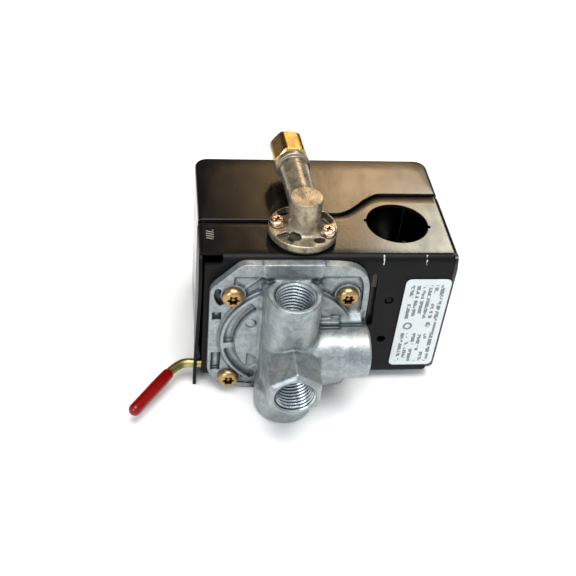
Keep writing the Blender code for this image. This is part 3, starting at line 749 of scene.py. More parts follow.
def block(p, low, high):
    """Distance to a box: the length of the overshoots outside, and the largest overshoot inside."""
    q = [np.abs(a - (lo + hi) / 2) - (hi - lo) / 2 for a, lo, hi in zip(p, low, high)]
    outside = np.sqrt(sum(np.maximum(a, 0) ** 2 for a in q))
    return outside + np.minimum(np.maximum(np.maximum(q[0], q[1]), q[2]), 0)


def join(first, second, fillet=0.8):
    """Smooth minimum: the smaller value, less fillet/4 times h squared, h being 1 where the two agree."""
    h = np.maximum(fillet - np.abs(first - second), 0) / fillet
    return np.minimum(first, second) - h * h * fillet / 4


def meet(first, second, fillet=0.5):
    return -join(-first, -second, fillet)


def cut(body, tool, fillet=0.5):
    return meet(body, -tool, fillet)


def span(a, low, high):
    """Distance outside the layer from low to high."""
    return np.abs(a - (low + high) / 2) - (high - low) / 2


def bar(p, axis, centre, radius, low, high, fillet=0.5):
    """Distance to a round bar: the distance past its side met with the distance past its ends."""
    along = "XYZ".index(axis)
    u, v = [p[i] for i in range(3) if i != along]
    side = np.hypot(u - centre[0], v - centre[1]) - radius
    return meet(side, span(p[along], low, high), fillet)


def convex(u, v, corners, fillet=0.8):
    """Distance to a convex outline given anticlockwise: its edges' half planes met one after another."""
    corners = np.asarray(corners, float)
    body = None
    for (u0, v0), (u1, v1) in zip(corners, np.roll(corners, -1, axis=0)):
        length = math.hypot(u1 - u0, v1 - v0)
        side = ((u - u0) * (v1 - v0) - (v - v0) * (u1 - u0)) / length
        body = side if body is None else meet(body, side, fillet)
    return body


print("a 10 mm cube at its own corner:", block((5.0, 5.0, 5.0), (-5, -5, -5), (5, 5, 5)))

# %% [markdown]
# A distance has no points of its own. The surface is found on a fine grid of cells: a cell with corners
# both inside and outside holds one point, put at the middle of the crossings on its edges, and each grid
# edge that crosses the surface joins the four cells around it. Each point then slides down the gradient
# onto the true surface, and the gradient there gives an exact normal for the shading.

# %% From a distance to a mesh


def gradient(distance, p, h=0.05):
    """The slope of the distance along each axis, from central differences."""
    slopes = []
    for axis in range(3):
        ahead, behind = list(p), list(p)
        ahead[axis], behind[axis] = p[axis] + h, p[axis] - h
        slopes.append((distance(ahead) - distance(behind)) / (2 * h))
    return np.stack(slopes, -1)


def cast(name, distance, low, high, pitch):
    """Surface net of a distance: points (n, 3), faces (m, 4) facing out, and unit normals (n, 3)."""
    ticks = [np.arange(lo, hi + pitch, pitch) for lo, hi in zip(low, high)]
    field = distance(np.meshgrid(*ticks, indexing="ij", sparse=True)).astype(np.float64)
    inside = field < 0
    corner = [(i, j, k) for i in (0, 1) for j in (0, 1) for k in (0, 1)]
    shape = tuple(n - 1 for n in field.shape)
    count = sum(inside[i:i + shape[0], j:j + shape[1], k:k + shape[2]].astype(np.int8) for i, j, k in corner)
    cells = np.argwhere((count > 0) & (count < 8))
    number = np.full(shape, -1, np.int64)
    number[tuple(cells.T)] = np.arange(len(cells))
    total, hits = np.zeros((len(cells), 3)), np.zeros(len(cells))
    for a in corner:
        for axis in range(3):
            if a[axis]:
                continue
            b = tuple(1 if i == axis else a[i] for i in range(3))
            fa, fb = field[tuple((cells + a).T)], field[tuple((cells + b).T)]
            crossing = (fa < 0) != (fb < 0)
            t = np.where(crossing, fa / np.where(crossing, fa - fb, 1), 0)
            total += crossing[:, None] * (np.array(a) + t[:, None] * (np.array(b) - a))
            hits += crossing
    points = np.array(low) + pitch * (cells + total / hits[:, None])
    faces = []
    for axis in range(3):
        one, two = [i for i in range(3) if i != axis]
        ahead = np.take(inside, range(1, field.shape[axis]), axis)
        behind = np.take(inside, range(field.shape[axis] - 1), axis)
        edges = np.argwhere(ahead != behind)
        edges = edges[(edges[:, one] > 0) & (edges[:, two] > 0)]
        edges = edges[(edges[:, one] < shape[one]) & (edges[:, two] < shape[two])]
        around = []
        for back_one, back_two in ((1, 1), (0, 1), (0, 0), (1, 0)):
            cell = edges.copy()
            cell[:, one] -= back_one
            cell[:, two] -= back_two
            around.append(number[tuple(cell.T)])
        quad = np.stack(around, -1)
        outward = behind[tuple(edges.T)] == (axis != 1)
        faces.append(np.where(outward[:, None], quad, quad[:, ::-1]))
    for _ in range(4):
        slope = gradient(distance, points.T)
        size = np.maximum((slope ** 2).sum(-1), 0.15)
        move = (distance(points.T) / size)[:, None] * slope
        points = points - np.clip(move, -0.3 * pitch, 0.3 * pitch)
    slope = gradient(distance, points.T, 0.12)
    normals = slope / np.linalg.norm(slope, axis=1, keepdims=True)
    print(f"{name}: {len(points)} points, {sum(map(len, faces))} faces")
    return points, np.concatenate(faces), normals


def casting(name, distance, low, high, pitch, finish, stands_for):
    """A cast piece with gradient normals and its painted_shade: how much nearer a wall is than open air, for
    painted shade in corners.
    """
    points, faces, normals = cast(name, distance, low, high, pitch)
    mesh = bpy.data.meshes.new(name)
    mesh.from_pydata(row(points).tolist(), [], faces.tolist())
    mesh.shade_smooth()
    # painted shade: nearness of walls within 1.5 mm along the normal, stored for the finish to darken by
    reach = 1.5
    painted_shade = np.clip(1 - distance((points + normals * reach).T) / reach, 0, 1)
    mesh.attributes.new("painted_shade", "FLOAT", "POINT").data.foreach_set("value", painted_shade.astype(np.float32))
    mesh.normals_split_custom_set_from_vertices(normals.tolist())
    return piece(name, mesh, finish, "root", "cast_zinc", stands_for)


sphere_test = cast("test ball", lambda p: np.sqrt(sum(a * a for a in p)) - 3, (-4,) * 3, (4,) * 3, 0.5)
print("ball radius after projection:", np.linalg.norm(sphere_test[0], axis=1).mean().round(4))

# %% [markdown]
# ### The port manifold
#
# Four ports meet in a cross: up, down, towards the tank and to the side. Behind them a flange closes the
# diaphragm chamber. The flange has a raised border, shallow panels round the four screws, a ring with two
# curved pockets, a low dome, and a broad web that carries the upright tube.

# %% The manifold as a distance
CX, CY, CZ = 31.4, -11.0, 26.5
BORE_R, PASSAGE_R, TUBE_TOP, HEX_MOUTH, STUB_END = 6.95, 3.2, 53.0, -32.5, 58.9
TUBE_R, BOSS_R, STUB_R, HEX_FLATS = 9.0, 10.7, 9.4, 17.6
FLANGE = np.concatenate([
    [(3.8, 9.3), (7.3, 3.9), (16.9, 0.3), (46.0, 0.3), (54.6, 3.9), (58.6, 9.6)],
    arc((48.6, 49.4), 10.0, 0, 90, 7), [(13.9, 59.4), (3.8, 48.7)]])
SCREWS = [(DIAPHRAGM[0] + i * 19.6, DIAPHRAGM[1] + j * 19.6) for j in (1, -1) for i in (-1, 1)]


def polar(x, z, centre):
    """Radius and angle in degrees round a centre on the port plate."""
    return np.hypot(x - centre[0], z - centre[1]), np.degrees(np.arctan2(z - centre[1], x - centre[0])) % 360


def sector(r, angle, inner, outer, start, end):
    """Distance to a piece of a ring: between two radii and two angles."""
    half = (end - start) / 2
    return meet(span(r, inner, outer), (np.abs(angle - start - half) - half) * np.radians(r), 0.8)


def flange_body(p):
    """A plate with an outline, shallow panels between its screws, thin ribs, small pockets and a crescent."""
    x, y, z = p
    outline = convex(x, z, FLANGE, 1.6)
    r, angle = polar(x, z, DIAPHRAGM)
    body = meet(outline, span(y, -3.5, -0.3), 0.35)
    near_screw = np.minimum.reduce([np.hypot(x - a, z - b) for a, b in SCREWS])
    panel = np.maximum.reduce(np.broadcast_arrays(
        outline + 2.2, 4.6 - near_screw, 24.0 - r, z - 54.3, 11.8 - x))
    body = cut(body, meet(panel, y + 2.9, 0.25), 0.3)
    rib = np.abs((x - 20.5) * 0.69 - (z - 53.8) * 0.72) - 0.35
    rib = meet(meet(rib, span(x, 15.0, 22.0), 0.4), span(y, -3.2, -1), 0.4)
    corner_rib = np.abs((x - 3.6) * 0.77 + (z - 27.0) * 0.637) - 0.4
    corner_rib = meet(meet(corner_rib, span(x, 4.4, 9.5), 0.4), span(y, -3.2, -1), 0.4)
    body = join(join(body, rib, 0.6), corner_rib, 0.6)
    for low, high in (((5.0, 35.2), (7.9, 38.4)), ((5.1, 10.4), (8.3, 19.0)), ((54.0, 14.0), (57.0, 24.0))):
        body = cut(body, block(p, (low[0], -5.0, low[1]), (high[0], -2.1, high[1])), 0.3)
    crescent = meet(sector(*polar(x, z, SCREWS[0]), 4.3, 6.2, 150, 232), y + 1.4, 0.3)
    return cut(body, crescent, 0.35)


def dome_body(p):
    """The ring, its two curved pockets, and the dome that rises slowly to its middle."""
    x, y, z = p
    r, angle = polar(x, z, DIAPHRAGM)
    ring = meet(r - 23.4, span(y, -5.4, -1), 0.7)
    pockets = np.minimum(sector(r, angle, 18.6, 22.1, 127, 183), sector(r, angle, 18.6, 22.1, 189.5, 239))
    body = cut(ring, meet(pockets, y + 0.5 + 0.8 * (22.1 - r), 0.4), 0.35)
    crown = 6.9 - 0.0022 * r * r
    body = join(body, meet(r - 18.4, np.abs(y + 1) - (crown - 1), 0.9), 0.5)
    for spot in ((18.2, 35.9), (45.8, 36.1)):
        mark_r = np.hypot(x - spot[0], z - spot[1])
        body = cut(body, meet(np.abs(mark_r - 1.7) - 0.25, y + 6.05, 0.3), 0.3)
    dent = convex(x, z, [(17.6, 13.0), (23.0, 17.8), (17.6, 21.4)], 0.5)
    return cut(body, meet(dent, y + 6.0, 0.4), 0.5)


print("flange corners:", len(FLANGE), "screws at", np.round(SCREWS, 1).tolist())

# %% [markdown]
# The ports are bars and a hexagon joined to that flange. Each mouth is bored a little wider than its
# thread, with a chamfer, so that a separate threaded lining can stand inside it.

# %% Ports, web and the whole casting


def mouth(p, axis, centre, end, inward, depth=12.8):
    """A bore from a port's end: radius 6.95, opening to 7.3 over its last 0.35 mm, then the air passage."""
    along = "XYZ".index(axis)
    u, v = [p[i] for i in range(3) if i != along]
    r = np.hypot(u - centre[0], v - centre[1])
    deep = (p[along] - end) * inward
    bore = meet(r - BORE_R - np.clip(0.35 - deep, 0, 0.35), span(deep, -3, depth), 0.3)
    return np.minimum(bore, np.maximum(r - PASSAGE_R, span(deep, 0, 30 if axis != "Y" else 31)))


def manifold(p):
    """Flange and dome, joined to the web, ports and ribs one by one, and then bored from each mouth."""
    x, y, z = p
    body = join(flange_body(p), dome_body(p), 0.9)
    web = convex(x, y, [(20.6, 0), (22.4, -11.2), (40.4, -11.2), (42.2, 0)], 0.9)
    web = meet(web, span(z, 2.4, 52.4), 1.2)
    face = convex(x, z, [(23.2, 44), (39.8, 44), (41.0, 54), (45.0, 59.6), (19.0, 59.6), (22.0, 54)], 0.5)
    face = meet(face, span(y, -3.7, -1), 0.4)
    skirt = convex(x, z, [(CX, 7.0), (45.0, 8.5), (51.5, 10.3), (54.5, 16.0), (54.5, 22.0), (CX, 22.0)], 1.5)
    skirt = meet(skirt, span(y, -11.5, -7.0), 1.2)
    tube = bar(p, "Z", (CX, CY), TUBE_R, 4.0, TUBE_TOP, 0.9)
    boss = bar(p, "Z", (CX, CY), BOSS_R, 0.0, 12.4, 2.6)
    stub = bar(p, "X", (CY, CZ), STUB_R, CX, STUB_END, 1.0)
    back = block(p, (CX, CY, 22.0), (57.4, -2.0, 31.0))
    ledge = block(p, (40.0, -6.6, 26.0), (56.8, -2.0, 38.4))
    ledge = meet(ledge, (z - 37.4) * 0.8 + (-y - 5.0) * 0.6, 0.6)
    lug = np.minimum(block(p, (40.0, -8.4, 31.6), (48.3, -2.0, 37.9)),
                     block(p, (40.0, -5.6, 37.0), (45.6, -2.0, 42.0)))
    hexagon = arc((CX, CZ), HEX_FLATS / math.sqrt(3), 30, 330, 6)
    flats = convex(x, z, hexagon, 0.55)
    tank = meet(meet(flats, span(y, HEX_MOUTH, CY), 0.4), (flats + HEX_MOUTH - y + 1.25) * 0.707, 0.35)
    for part, fillet in ((web, 1.2), (face, 0.8), (skirt, 1.4), (tube, 1.6), (boss, 2.4), (stub, 1.6),
                         (back, 1.2), (ledge, 1.0), (lug, 0.8), (tank, 1.0)):
        body = join(body, part, fillet)
    body = np.maximum(np.maximum(body, y + 0.3), -z)
    for tool in (mouth(p, "Z", (CX, CY), TUBE_TOP, -1), mouth(p, "Z", (CX, CY), 0.0, 1),
                 mouth(p, "Y", (CX, CZ), HEX_MOUTH, 1), mouth(p, "X", (CY, CZ), STUB_END, -1)):
        body = cut(body, tool, 0.35)
    chamber = np.minimum(bar(p, "Y", DIAPHRAGM, 19.0, -1.8, 2), bar(p, "Y", DIAPHRAGM, 14.0, -3.4, 2))
    notch = block(p, (18.6, -9.0, 4.6), (23.4, -2.6, 6.4))
    return cut(cut(body, chamber, 0.3), notch, 0.6)


casting("port_manifold_casting", manifold, (3.0, -33.1, -0.6), (59.6, 0.3, 60.0), 0.42,
        cast_zinc, "port_manifold")

# %% [markdown]
# A quarter-inch pipe thread has 18 turns to the inch. The lining's inner wall is one function: the root
# radius less a triangle wave of height over pitch minus turn, which is a helix, opened by a chamfer at the
# mouth. An outer wall, buried in the casting, closes it into a solid ring.

# %% Threaded linings
PITCH, ROOT_R, CREST_R = 1.411, 6.72, 6.02


def lining(axis, centre, end, inward, depth=12.4, sides=80):
    """Inner radius = root - height * triangle(along / pitch - angle / turn), widened near the mouth."""
    steps = int(depth / PITCH * 10)
    along = np.linspace(0.35, depth, steps)[:, None]
    a = np.linspace(0, 2 * np.pi, sides, endpoint=False)[None, :]
    phase = (along / PITCH - a / (2 * np.pi)) % 1.0
    ridge = np.clip(1.15 - 2.3 * np.abs(phase - 0.5), 0, 1)
    inner = np.maximum(ROOT_R - (ROOT_R - CREST_R) * ridge, 7.15 - 1.05 * (along - 0.35))
    outer = np.full((2, sides), 7.2)
    r = np.concatenate([inner, outer])
    w = end + inward * np.concatenate([np.broadcast_to(along, inner.shape), np.full((1, sides), depth),
                                       np.full((1, sides), 0.35)])
    u, v = centre[0] + r * np.cos(a), centre[1] + r * np.sin(a)
    order = {"X": (w, u, v), "Y": (u, w, v), "Z": (u, v, w)}[axis]
    # painted shade for the finish: 1 in the thread roots and on the buried wall, 0 on the crests
    thread_root_shade = np.concatenate([1 - ridge, np.ones((2, sides))])
    return (np.stack(order, -1).reshape(-1, 3), grid_faces(steps + 2, sides, True, True)), thread_root_shade


PORTS = {
    "top": ("Z", (CX, CY), TUBE_TOP, -1), "bottom": ("Z", (CX, CY), 0.0, 1),
    "tank": ("Y", (CX, CZ), HEX_MOUTH, 1), "side": ("X", (CY, CZ), STUB_END, -1)}
# Each lining's second result is painted shade for its thread roots.
for port, facts in PORTS.items():
    wall, thread_root_shade = lining(*facts)
    piece(f"{port}_port_thread", mesh_of(f"{port}_port_thread", wall, sharp=60, painted_shade=thread_root_shade),
          cut_zinc, "root", "cast_zinc")

# %% [markdown]
# ### The unloader valve
#
# The valve is a smaller casting: a round flange with four windows, an upright post that flares into it,
# and an arm that leans 3.2 degrees to the left and ends in a collar. It is stated in the same way, with
# the arm measured in its own direction.

# %% The valve as a distance
ARM_AT, ARM_TURN = np.array((VALVE[0], VALVE[1], 70.8)), math.radians(3.2)
ARM_ALONG = np.array((-math.sin(ARM_TURN), math.cos(ARM_TURN), 0.0))
ARM_SIDE = np.array((math.cos(ARM_TURN), math.sin(ARM_TURN), 0.0))


def arm_places(p):
    """How far along the arm a point is, and how far from its axis."""
    x, y, z = p[0] - ARM_AT[0], p[1] - ARM_AT[1], p[2] - ARM_AT[2]
    return x * ARM_ALONG[0] + y * ARM_ALONG[1], np.hypot(x * ARM_SIDE[0] + y * ARM_SIDE[1], z)


def oval(x, y, centre, length, width, turn):
    """Distance to a long hole: a stretch of line with a radius."""
    a = math.radians(turn)
    u = (x - VALVE[0] - centre[0]) * math.cos(a) + (y - VALVE[1] - centre[1]) * math.sin(a)
    v = (y - VALVE[1] - centre[1]) * math.cos(a) - (x - VALVE[0] - centre[0]) * math.sin(a)
    return np.hypot(np.maximum(np.abs(u) - length / 2, 0), v) - width


def valve_body(p):
    """The flange with its step and four windows, the stem, the post, the arm, its collar and its spigot."""
    x, y, z = p
    r = np.hypot(x - VALVE[0], y - VALVE[1])
    flange = bar(p, "Z", VALVE, 11.9, 61.3, 64.0, 0.5)
    step_down = meet(sector(*polar(x, y, VALVE), 6.6, 11.0, 208, 243), 62.9 - z, 0.3)
    body = cut(flange, step_down, 0.35)
    stem = bar(p, "Z", VALVE, 3.7, 52.0, 62.5)
    post = bar(p, "Z", VALVE, 5.6, 62.5, 76.2, 0.35)
    along, off = arm_places(p)
    arm = meet(off - 5.1 + 0.012 * (25 - along), span(along, 0, 25.5), 0.3)
    collar = meet(off - 6.2, span(along, 24.3, 26.9), 0.7)
    spigot = meet(off - 4.0, span(along, 24.0, 32.4), 0.4)
    for part, fillet in ((stem, 0.6), (post, 2.6), (arm, 1.3), (collar, 0.8), (spigot, 0.4)):
        body = join(body, part, fillet)
    for spot, length, width, turn in (
            ((7.9, 4.6), 3.8, 1.8, 115), ((-5.6, 8.0), 2.2, 1.6, 35), ((-3.7, -6.2), 1.5, 1.35, -35),
            ((4.6, -7.9), 1.2, 1.25, 15)):
        body = cut(body, np.maximum(oval(x, y, spot, length, width, turn), span(z, 60, 64.6)), 0.5)
    body = cut(body, np.maximum(off - 2.0, span(along, 0, 50)), 0.3)
    return cut(body, bar(p, "Z", VALVE, 1.7, 50.0, 69.5), 0.3)


casting("unloader_valve_casting", valve_body, (23.0, -0.6, 51.6), (48.2, 45.4, 76.9), 0.25,
        warm_zinc, "unloader_valve_body")

# %% [markdown]
# ## Turned and swept pieces
#
# The compression nut is a hexagon seen from its end and a cone seen from its side. Its radius is therefore
# the smaller of two functions: the hexagon's, which depends on the angle, and the chamfer's, which depends
# on the distance from an end. Where they cross, the curved edges of a real nut appear by themselves.

# %% The compression nut
NUT_START, NUT_LENGTH, NUT_FLATS, NUT_BORE, NUT_TURN = 27.3, 12.1, 11.9, 4.35, math.radians(8)


def hexagonal(a, flats, corner=0.25):
    """Radius of a hexagon at an angle: half the flats over the cosine from the nearest flat, corners eased."""
    off = (np.degrees(a) % 60.0) - 30.0
    sharp = flats / 2 / np.cos(np.radians(off))
    return join(sharp, np.full_like(sharp, flats / math.sqrt(3) - corner), 0.4)


def on_arm(radial, angle, along):
    """From the arm's own polar places to case millimetres."""
    side, up = radial * np.cos(angle), radial * np.sin(angle)
    points = ARM_AT + along[..., None] * ARM_ALONG + side[..., None] * ARM_SIDE
    points[..., 2] += up
    return points.reshape(-1, 3)


def nut_surface(sides=144):
    """Rows from the inner bore, over one chamfered end, along the flats and back through the other."""
    a = np.linspace(0, 2 * np.pi, sides, endpoint=False)[None, :]
    end, t = NUT_START + NUT_LENGTH, np.linspace(0, 1, 7)
    body = hexagonal(a + NUT_TURN, NUT_FLATS)
    rows = [(NUT_BORE, NUT_START + 8.0), (NUT_BORE, NUT_START + 0.6), (4.7, NUT_START)]
    rows += [(5.5, NUT_START)] + [(5.5 + 1.3 * k, NUT_START + 0.85 * k) for k in t[1:]]
    middle = [(9.0, w) for w in np.linspace(NUT_START + 1.2, end - 1.2, 6)]
    rows += middle + [(5.5 + 1.3 * k, end - 0.85 * k) for k in t[:0:-1]] + [(5.5, end)]
    rows += [(3.1, end), (2.6, end - 0.5), (2.5, NUT_START + 8.4), (NUT_BORE, NUT_START + 8.0)]
    limit, along = np.array(rows).T[:, :, None]
    radial = np.minimum(limit, body)
    along, angle = np.broadcast_to(along, radial.shape), np.broadcast_to(a, radial.shape)
    return on_arm(radial, angle, along), grid_faces(len(rows), sides, loop_columns=True)


piece("brass_compression_nut", mesh_of("brass_compression_nut", nut_surface(), sharp=28), brass,
      "compression_nut", "brass", "compression_nut")

# %% [markdown]
# A pan head is a dome with a driver recess pressed into it. On a polar grid the whole top is one height:
# the dome, less a depth wherever the point lies inside the recess. The four manifold screws have a
# six-lobed recess, the two small ones on the valve a cross, and the cover screw a straight slot.

# %% Screw heads


def six_lobes(r, a):
    """Inside depth of a six-lobed recess, with the small post that stands in its middle."""
    return ease((1.68 + 0.34 * np.cos(6 * a) - r) / 0.22 + 0.5) - 0.6 * ease((0.66 - r) / 0.2 + 0.5)


def cross(r, a):
    """Inside depth of a cross recess: the nearer of two crossed bars, turned a little."""
    u, v = np.abs(r * np.cos(a + 0.5)), np.abs(r * np.sin(a + 0.5))
    arms = np.minimum(np.maximum(u - 0.36, v - 1.45), np.maximum(v - 0.36, u - 1.45))
    return ease(-arms / 0.2 + 0.5)


def straight(r, a):
    """Inside depth of a straight slot, from the distance to its middle line."""
    return ease((0.42 - np.abs(r * np.cos(a))) / 0.12 + 0.5)


def screw_surface(axis, place, seat, outward, head, height, shank, reach, recess, depth, power=4.6, sides=96):
    """Rows from the shank's tip out under the head, over the rim and in across the recessed dome."""
    a = np.linspace(0, 2 * np.pi, sides, endpoint=False)[None, :]
    under = [(0.0, -reach), (shank * 0.7, -reach), (shank, -reach + 0.5), (shank, 0.0), (head * 0.97, 0.0)]
    r_top = head * np.concatenate([np.cos(np.radians(np.linspace(0, 50, 9))), np.linspace(0.62, 0, 34)])
    dome = height * np.maximum(1 - (r_top / head) ** power, 0) ** (1 / 2.0)
    dome = 0.16 + (height - 0.16) * dome / height
    r = np.concatenate([[k for k, _ in under], r_top])[:, None]
    w = np.concatenate([[k for _, k in under], dome])[:, None] + 0 * a
    top = (np.arange(len(r)) >= len(under) + 6)[:, None]
    pressed = np.where(top, recess(r, a), 0)
    w = w - depth * pressed
    u, v, w = place[0] + r * np.cos(a), place[1] + r * np.sin(a), seat + outward * w
    order = {"Y": (u, w, v), "Z": (u, v, w)}[axis]
    return (np.stack(order, -1).reshape(-1, 3), grid_faces(len(r), sides, loop_columns=True)), pressed


# pressed, the depth of the recess, also serves as painted shade in the recess.
for number, place in enumerate(SCREWS, 1):
    name = f"six_lobe_screw_{number}"
    surface, pressed = screw_surface("Y", place, -3.8, -1, 3.9, 2.5, 1.8, 9.0, six_lobes, 1.6)
    piece(name, mesh_of(name, surface, sharp=50, painted_shade=pressed), gold_chromate, "root", "yellow_zinc_steel",
          f"manifold_screw_{number}")
for number, place in enumerate(((26.7, 13.1), (43.6, 7.7)), 1):
    name = f"valve_pan_screw_{number}"
    surface, pressed = screw_surface("Z", place, 64.3, 1, 2.7, 1.9, 1.5, 8.5, cross, 0.8, 12.0)
    piece(name, mesh_of(name, surface, sharp=50, painted_shade=pressed), rose_chromate, "root", "yellow_zinc_steel",
          f"unloader_screw_{number}")
surface, _ = screw_surface("Y", DIAPHRAGM, CASE_D + GAP, 1, 4.0, 2.2, 1.3, 7.6, straight, 0.9)
piece("cover_slotted_screw", mesh_of("cover_slotted_screw", surface, sharp=50), steel, "cover",
      "plated_steel", "cover_screw")

# %% [markdown]
# The hand lever is one bent rod. Its route is a line through a few corners, each rounded by a curve
# between two trimmed points, and the surface is a circle carried along that route. The same sweep, with a
# radius that swells and then closes in a dome, makes the vinyl grip.

# %% The lever's rod and grip
LEVER_AT = np.array((0.0, 3.0, 6.8))
LEVER_CORNERS = np.array([
    (6.4, 0, 8.0), (6.4, 0, 0.0), (-4.4, 0.6, 0), (-8.4, -2.6, 0), (-22.8, -23.4, 0)])
ROD_R, GRIP_R, CUFF_R = 1.7, 2.35, 2.16


def rounded_route(corners, trims, steps=9):
    """Straight runs joined at each corner c by (1-t)^2 start + 2t(1-t) c + t^2 end."""
    route = [corners[:1]]
    t = np.linspace(0, 1, steps)[:, None]
    for before, corner, after, trim in zip(corners, corners[1:], corners[2:], trims):
        start = corner + (before - corner) / np.linalg.norm(before - corner) * trim
        end = corner + (after - corner) / np.linalg.norm(after - corner) * trim
        route.append(start * (1 - t) ** 2 + corner * 2 * t * (1 - t) + end * t ** 2)
    return np.concatenate([*route, corners[-1:]])


def sweep(route, radii, sides=28, aim=None):
    """A circle carried along a route: centre + r (side cos a + up sin a), side being across a fixed line."""
    ahead = np.gradient(route, axis=0) if aim is None else np.tile(aim, (len(route), 1))
    ahead /= np.linalg.norm(ahead, axis=1, keepdims=True)
    side = np.cross(ahead, (0.05, 0.55, 1.0))
    side /= np.linalg.norm(side, axis=1, keepdims=True)
    up = np.cross(side, ahead)
    a = np.linspace(0, 2 * np.pi, sides, endpoint=False)[None, :, None]
    around = side[:, None] * np.cos(a) + up[:, None] * np.sin(a)
    points = route[:, None] + np.asarray(radii)[:, None, None] * around
    return points.reshape(-1, 3), grid_faces(len(route), sides, loop_columns=True)


route = rounded_route(LEVER_CORNERS, (2.4, 2.2, 2.6)) + LEVER_AT
tip, bend_end = route[-1].copy(), route[-2]
outward = (tip - bend_end) / np.linalg.norm(tip - bend_end)
route[-1] = tip - outward * 2.0
rod_route = np.concatenate([route[:1], route, route[-1:]])
rod_route[1] = route[0] + (0, 0, -0.01)
rod_route[-2] = route[-1] - outward * 0.01
rod_radii = np.full(len(rod_route), ROD_R)
rod_radii[0] = rod_radii[-1] = 0.0
piece("lever_bent_rod", mesh_of("lever_bent_rod", sweep(rod_route, rod_radii), sharp=60), rod_chromate,
      "lever", "yellow_zinc_steel", "lever_rod")

length = float(np.linalg.norm(tip - bend_end)) + 0.2
dome = np.radians(np.linspace(0, 90, 10))[1:]
along = np.concatenate([
    [1.6, 0.3, 0.0, 0.25, 0.8], np.linspace(1.6, length - GRIP_R, 16), length - GRIP_R * (1 - np.sin(dome))])
radii = np.concatenate([
    [ROD_R + 0.04, ROD_R + 0.05, 1.95, 2.12, CUFF_R], CUFF_R + (GRIP_R - CUFF_R) * ease(along[5:21] / 6.0),
    GRIP_R * np.cos(dome)])
grip = sweep(tip + outward * (along - length)[:, None], radii, aim=outward)
piece("red_vinyl_grip", mesh_of("red_vinyl_grip", grip, sharp=60), red_vinyl, "lever", "red_vinyl",
      "lever_grip")

# %% [markdown]
# ## The inner works
#
# Inside the case the imported shapes are already right, so they stay. Each takes its finish, and on the
# soft-edged ones modifiers merge loose triangles, break edges with a small bevel and weight normals by face
# area.

# %% Finishes for the imported pieces
KEPT = {
    steel: ("diaphragm_plunger", "main_rocker", "rocker_pin", "range_spring", "spring_seat", "range_stud",
            "spring_bridge", "unloader_pin", "terminal_screw_1", "terminal_screw_2", "terminal_screw_3",
            "terminal_screw_4"),
    brass: ("ferrule", "range_lock_nut", "moving_contact_1", "moving_contact_2", "terminal_1",
            "terminal_2", "terminal_3", "terminal_4"),
    phenolic: ("terminal_block", "contact_carrier"), rubber: ("diaphragm", "unloader_gasket"),
    # block_screw takes black enamel as painted shade for the dark hole it sits in
    satin_black: ("block_screw",), label_film: ("label",)}
SOFT_EDGES = ("main_rocker", "spring_bridge", "terminal_block", "contact_carrier", "range_lock_nut",
              "terminal_1", "terminal_2", "terminal_3", "terminal_4", "moving_contact_1", "moving_contact_2")

for finish, names in KEPT.items():
    for name in names:
        kept = nodes[name]
        for slot in kept.material_slots:
            slot.material = finish
        if name in SOFT_EDGES:
            kept.modifiers.new("merge", "WELD").merge_threshold = 1e-5
            edge = kept.modifiers.new("edge", "BEVEL")
            edge.width, edge.segments, edge.limit_method = 0.18 * MM, 2, "ANGLE"
            edge.angle_limit = math.radians(40)
            kept.modifiers.new("normals", "WEIGHTED_NORMAL").keep_sharp = True
print(sum(map(len, KEPT.values())), "packed pieces keep their shape")

# %% [markdown]
# ## Floor and light
#
# The switch lies on a plain white floor. A broad soft light hangs overhead, a cooler one stands by the
# camera, and a warm glow low behind the switch is what gloss black paint mirrors back as brown and gold.
# The glow is painted into the world, as smooth patches round a few directions, so it has no hard edge. A
# wide dim one keeps the cover's left end dark, two warm ones lie over it, and a paler one ends the row.

# %% The floor
floor_mesh = bpy.data.meshes.new("floor")
floor_mesh.from_pydata([(x, y, 0.0) for x, y in ((-3, -3), (3, -3), (3, 3), (-3, 3))], [], [(0, 1, 2, 3)])
floor = bpy.data.objects.new("floor", floor_mesh)
bpy.context.scene.collection.objects.link(floor)
f = Finish("pale_floor", Roughness=0.9, **{"Specular IOR Level": 0.1})
floor_mesh.materials.append(f.done(
    Base_Color=f.mix(f.noise(60.0, 2), rgb(0.90, 0.90, 0.90), rgb(0.93, 0.93, 0.93))))

# %% Lights and the world


def soft_light(name, at, towards, size, power, colour):
    """A square area light at a place in the shared frame, aimed at another."""
    lamp = bpy.data.lights.new(name, "AREA")
    lamp.shape, lamp.size, lamp.energy, lamp.color = "SQUARE", size, power, colour
    made = bpy.data.objects.new(name, lamp)
    made.location = at
    made.rotation_euler = (Vector(towards) - Vector(at)).to_track_quat("-Z", "Y").to_euler()
    bpy.context.scene.collection.objects.link(made)


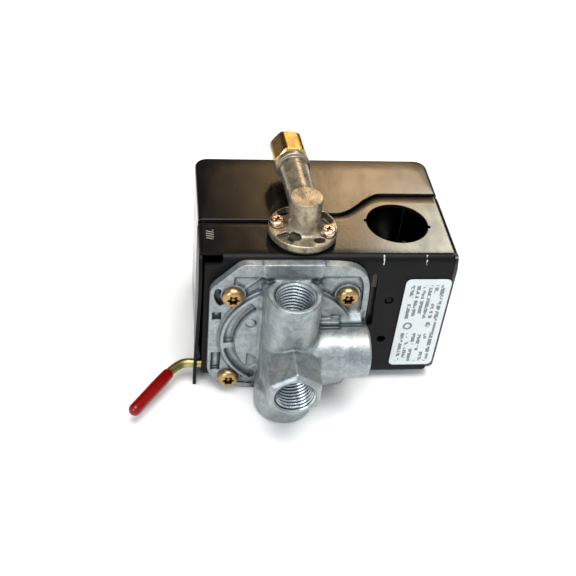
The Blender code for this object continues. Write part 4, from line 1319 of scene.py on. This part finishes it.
soft_light("overhead", (0.05, -0.10, 0.9), (0, 0, 0), 0.7, 11.0, (1.0, 0.98, 0.94))
soft_light("beside_camera", (-0.55, -0.75, 0.45), (0, 0, 0.03), 0.4, 3.6, (0.90, 0.96, 1.0))

world = bpy.data.worlds.new("studio")
bpy.context.scene.world = world
world.use_nodes = True
sky = world.node_tree


def sky_node(kind, settings, sockets):
    """Adds a node to the world, as Finish.node does to a material."""
    made = sky.nodes.new(kind)
    for setting, value in settings.items():
        setattr(made, setting, value)
    for key, value in sockets.items():
        if isinstance(value, bpy.types.NodeSocket):
            sky.links.new(value, made.inputs[key])
        else:
            made.inputs[key].default_value = value
    return made


def towards(azimuth, elevation):
    """The unit direction at an angle round from straight back, and an angle up, in degrees."""
    a, e = math.radians(azimuth), math.radians(elevation)
    return (math.sin(a) * math.cos(e), math.cos(a) * math.cos(e), math.sin(e))


def patch(azimuth, elevation, edge, core):
    """0 outside edge degrees from a direction and 1 inside core degrees, with a smooth rise between."""
    dot = sky_node("ShaderNodeVectorMath", {"operation": "DOT_PRODUCT"}, {
        0: direction, 1: towards(azimuth, elevation)}).outputs["Value"]
    return sky_node("ShaderNodeMapRange", {"interpolation_type": "SMOOTHSTEP"}, {
        "Value": dot, 1: math.cos(math.radians(edge)), 2: math.cos(math.radians(core))}).outputs[0]


def layered(factor, under, over):
    """One colour laid over another by a factor."""
    return sky_node("ShaderNodeMix", {"data_type": "RGBA"}, {0: factor, 6: under, 7: over}).outputs[2]


direction = sky_node("ShaderNodeTexCoord", {}, {}).outputs["Generated"]
light = layered(patch(0, 30, 95, 50), rgb(0.78, 0.83, 0.87), rgb(0.055, 0.040, 0.024))
light = layered(patch(15, 32, 10.5, 1), light, rgb(2.1, 1.35, 0.66))
light = layered(patch(15.2, 34, 4.8, 0.5), light, rgb(8.0, 5.4, 2.9))
light = layered(patch(23, 38, 5.5, 2.5), light, rgb(13.0, 12.4, 10.2))
sky.links.new(light, sky.nodes["Background"].inputs["Color"])
sky.nodes["Background"].inputs["Strength"].default_value = 1.0
bpy.context.scene.view_settings.view_transform = "Standard"
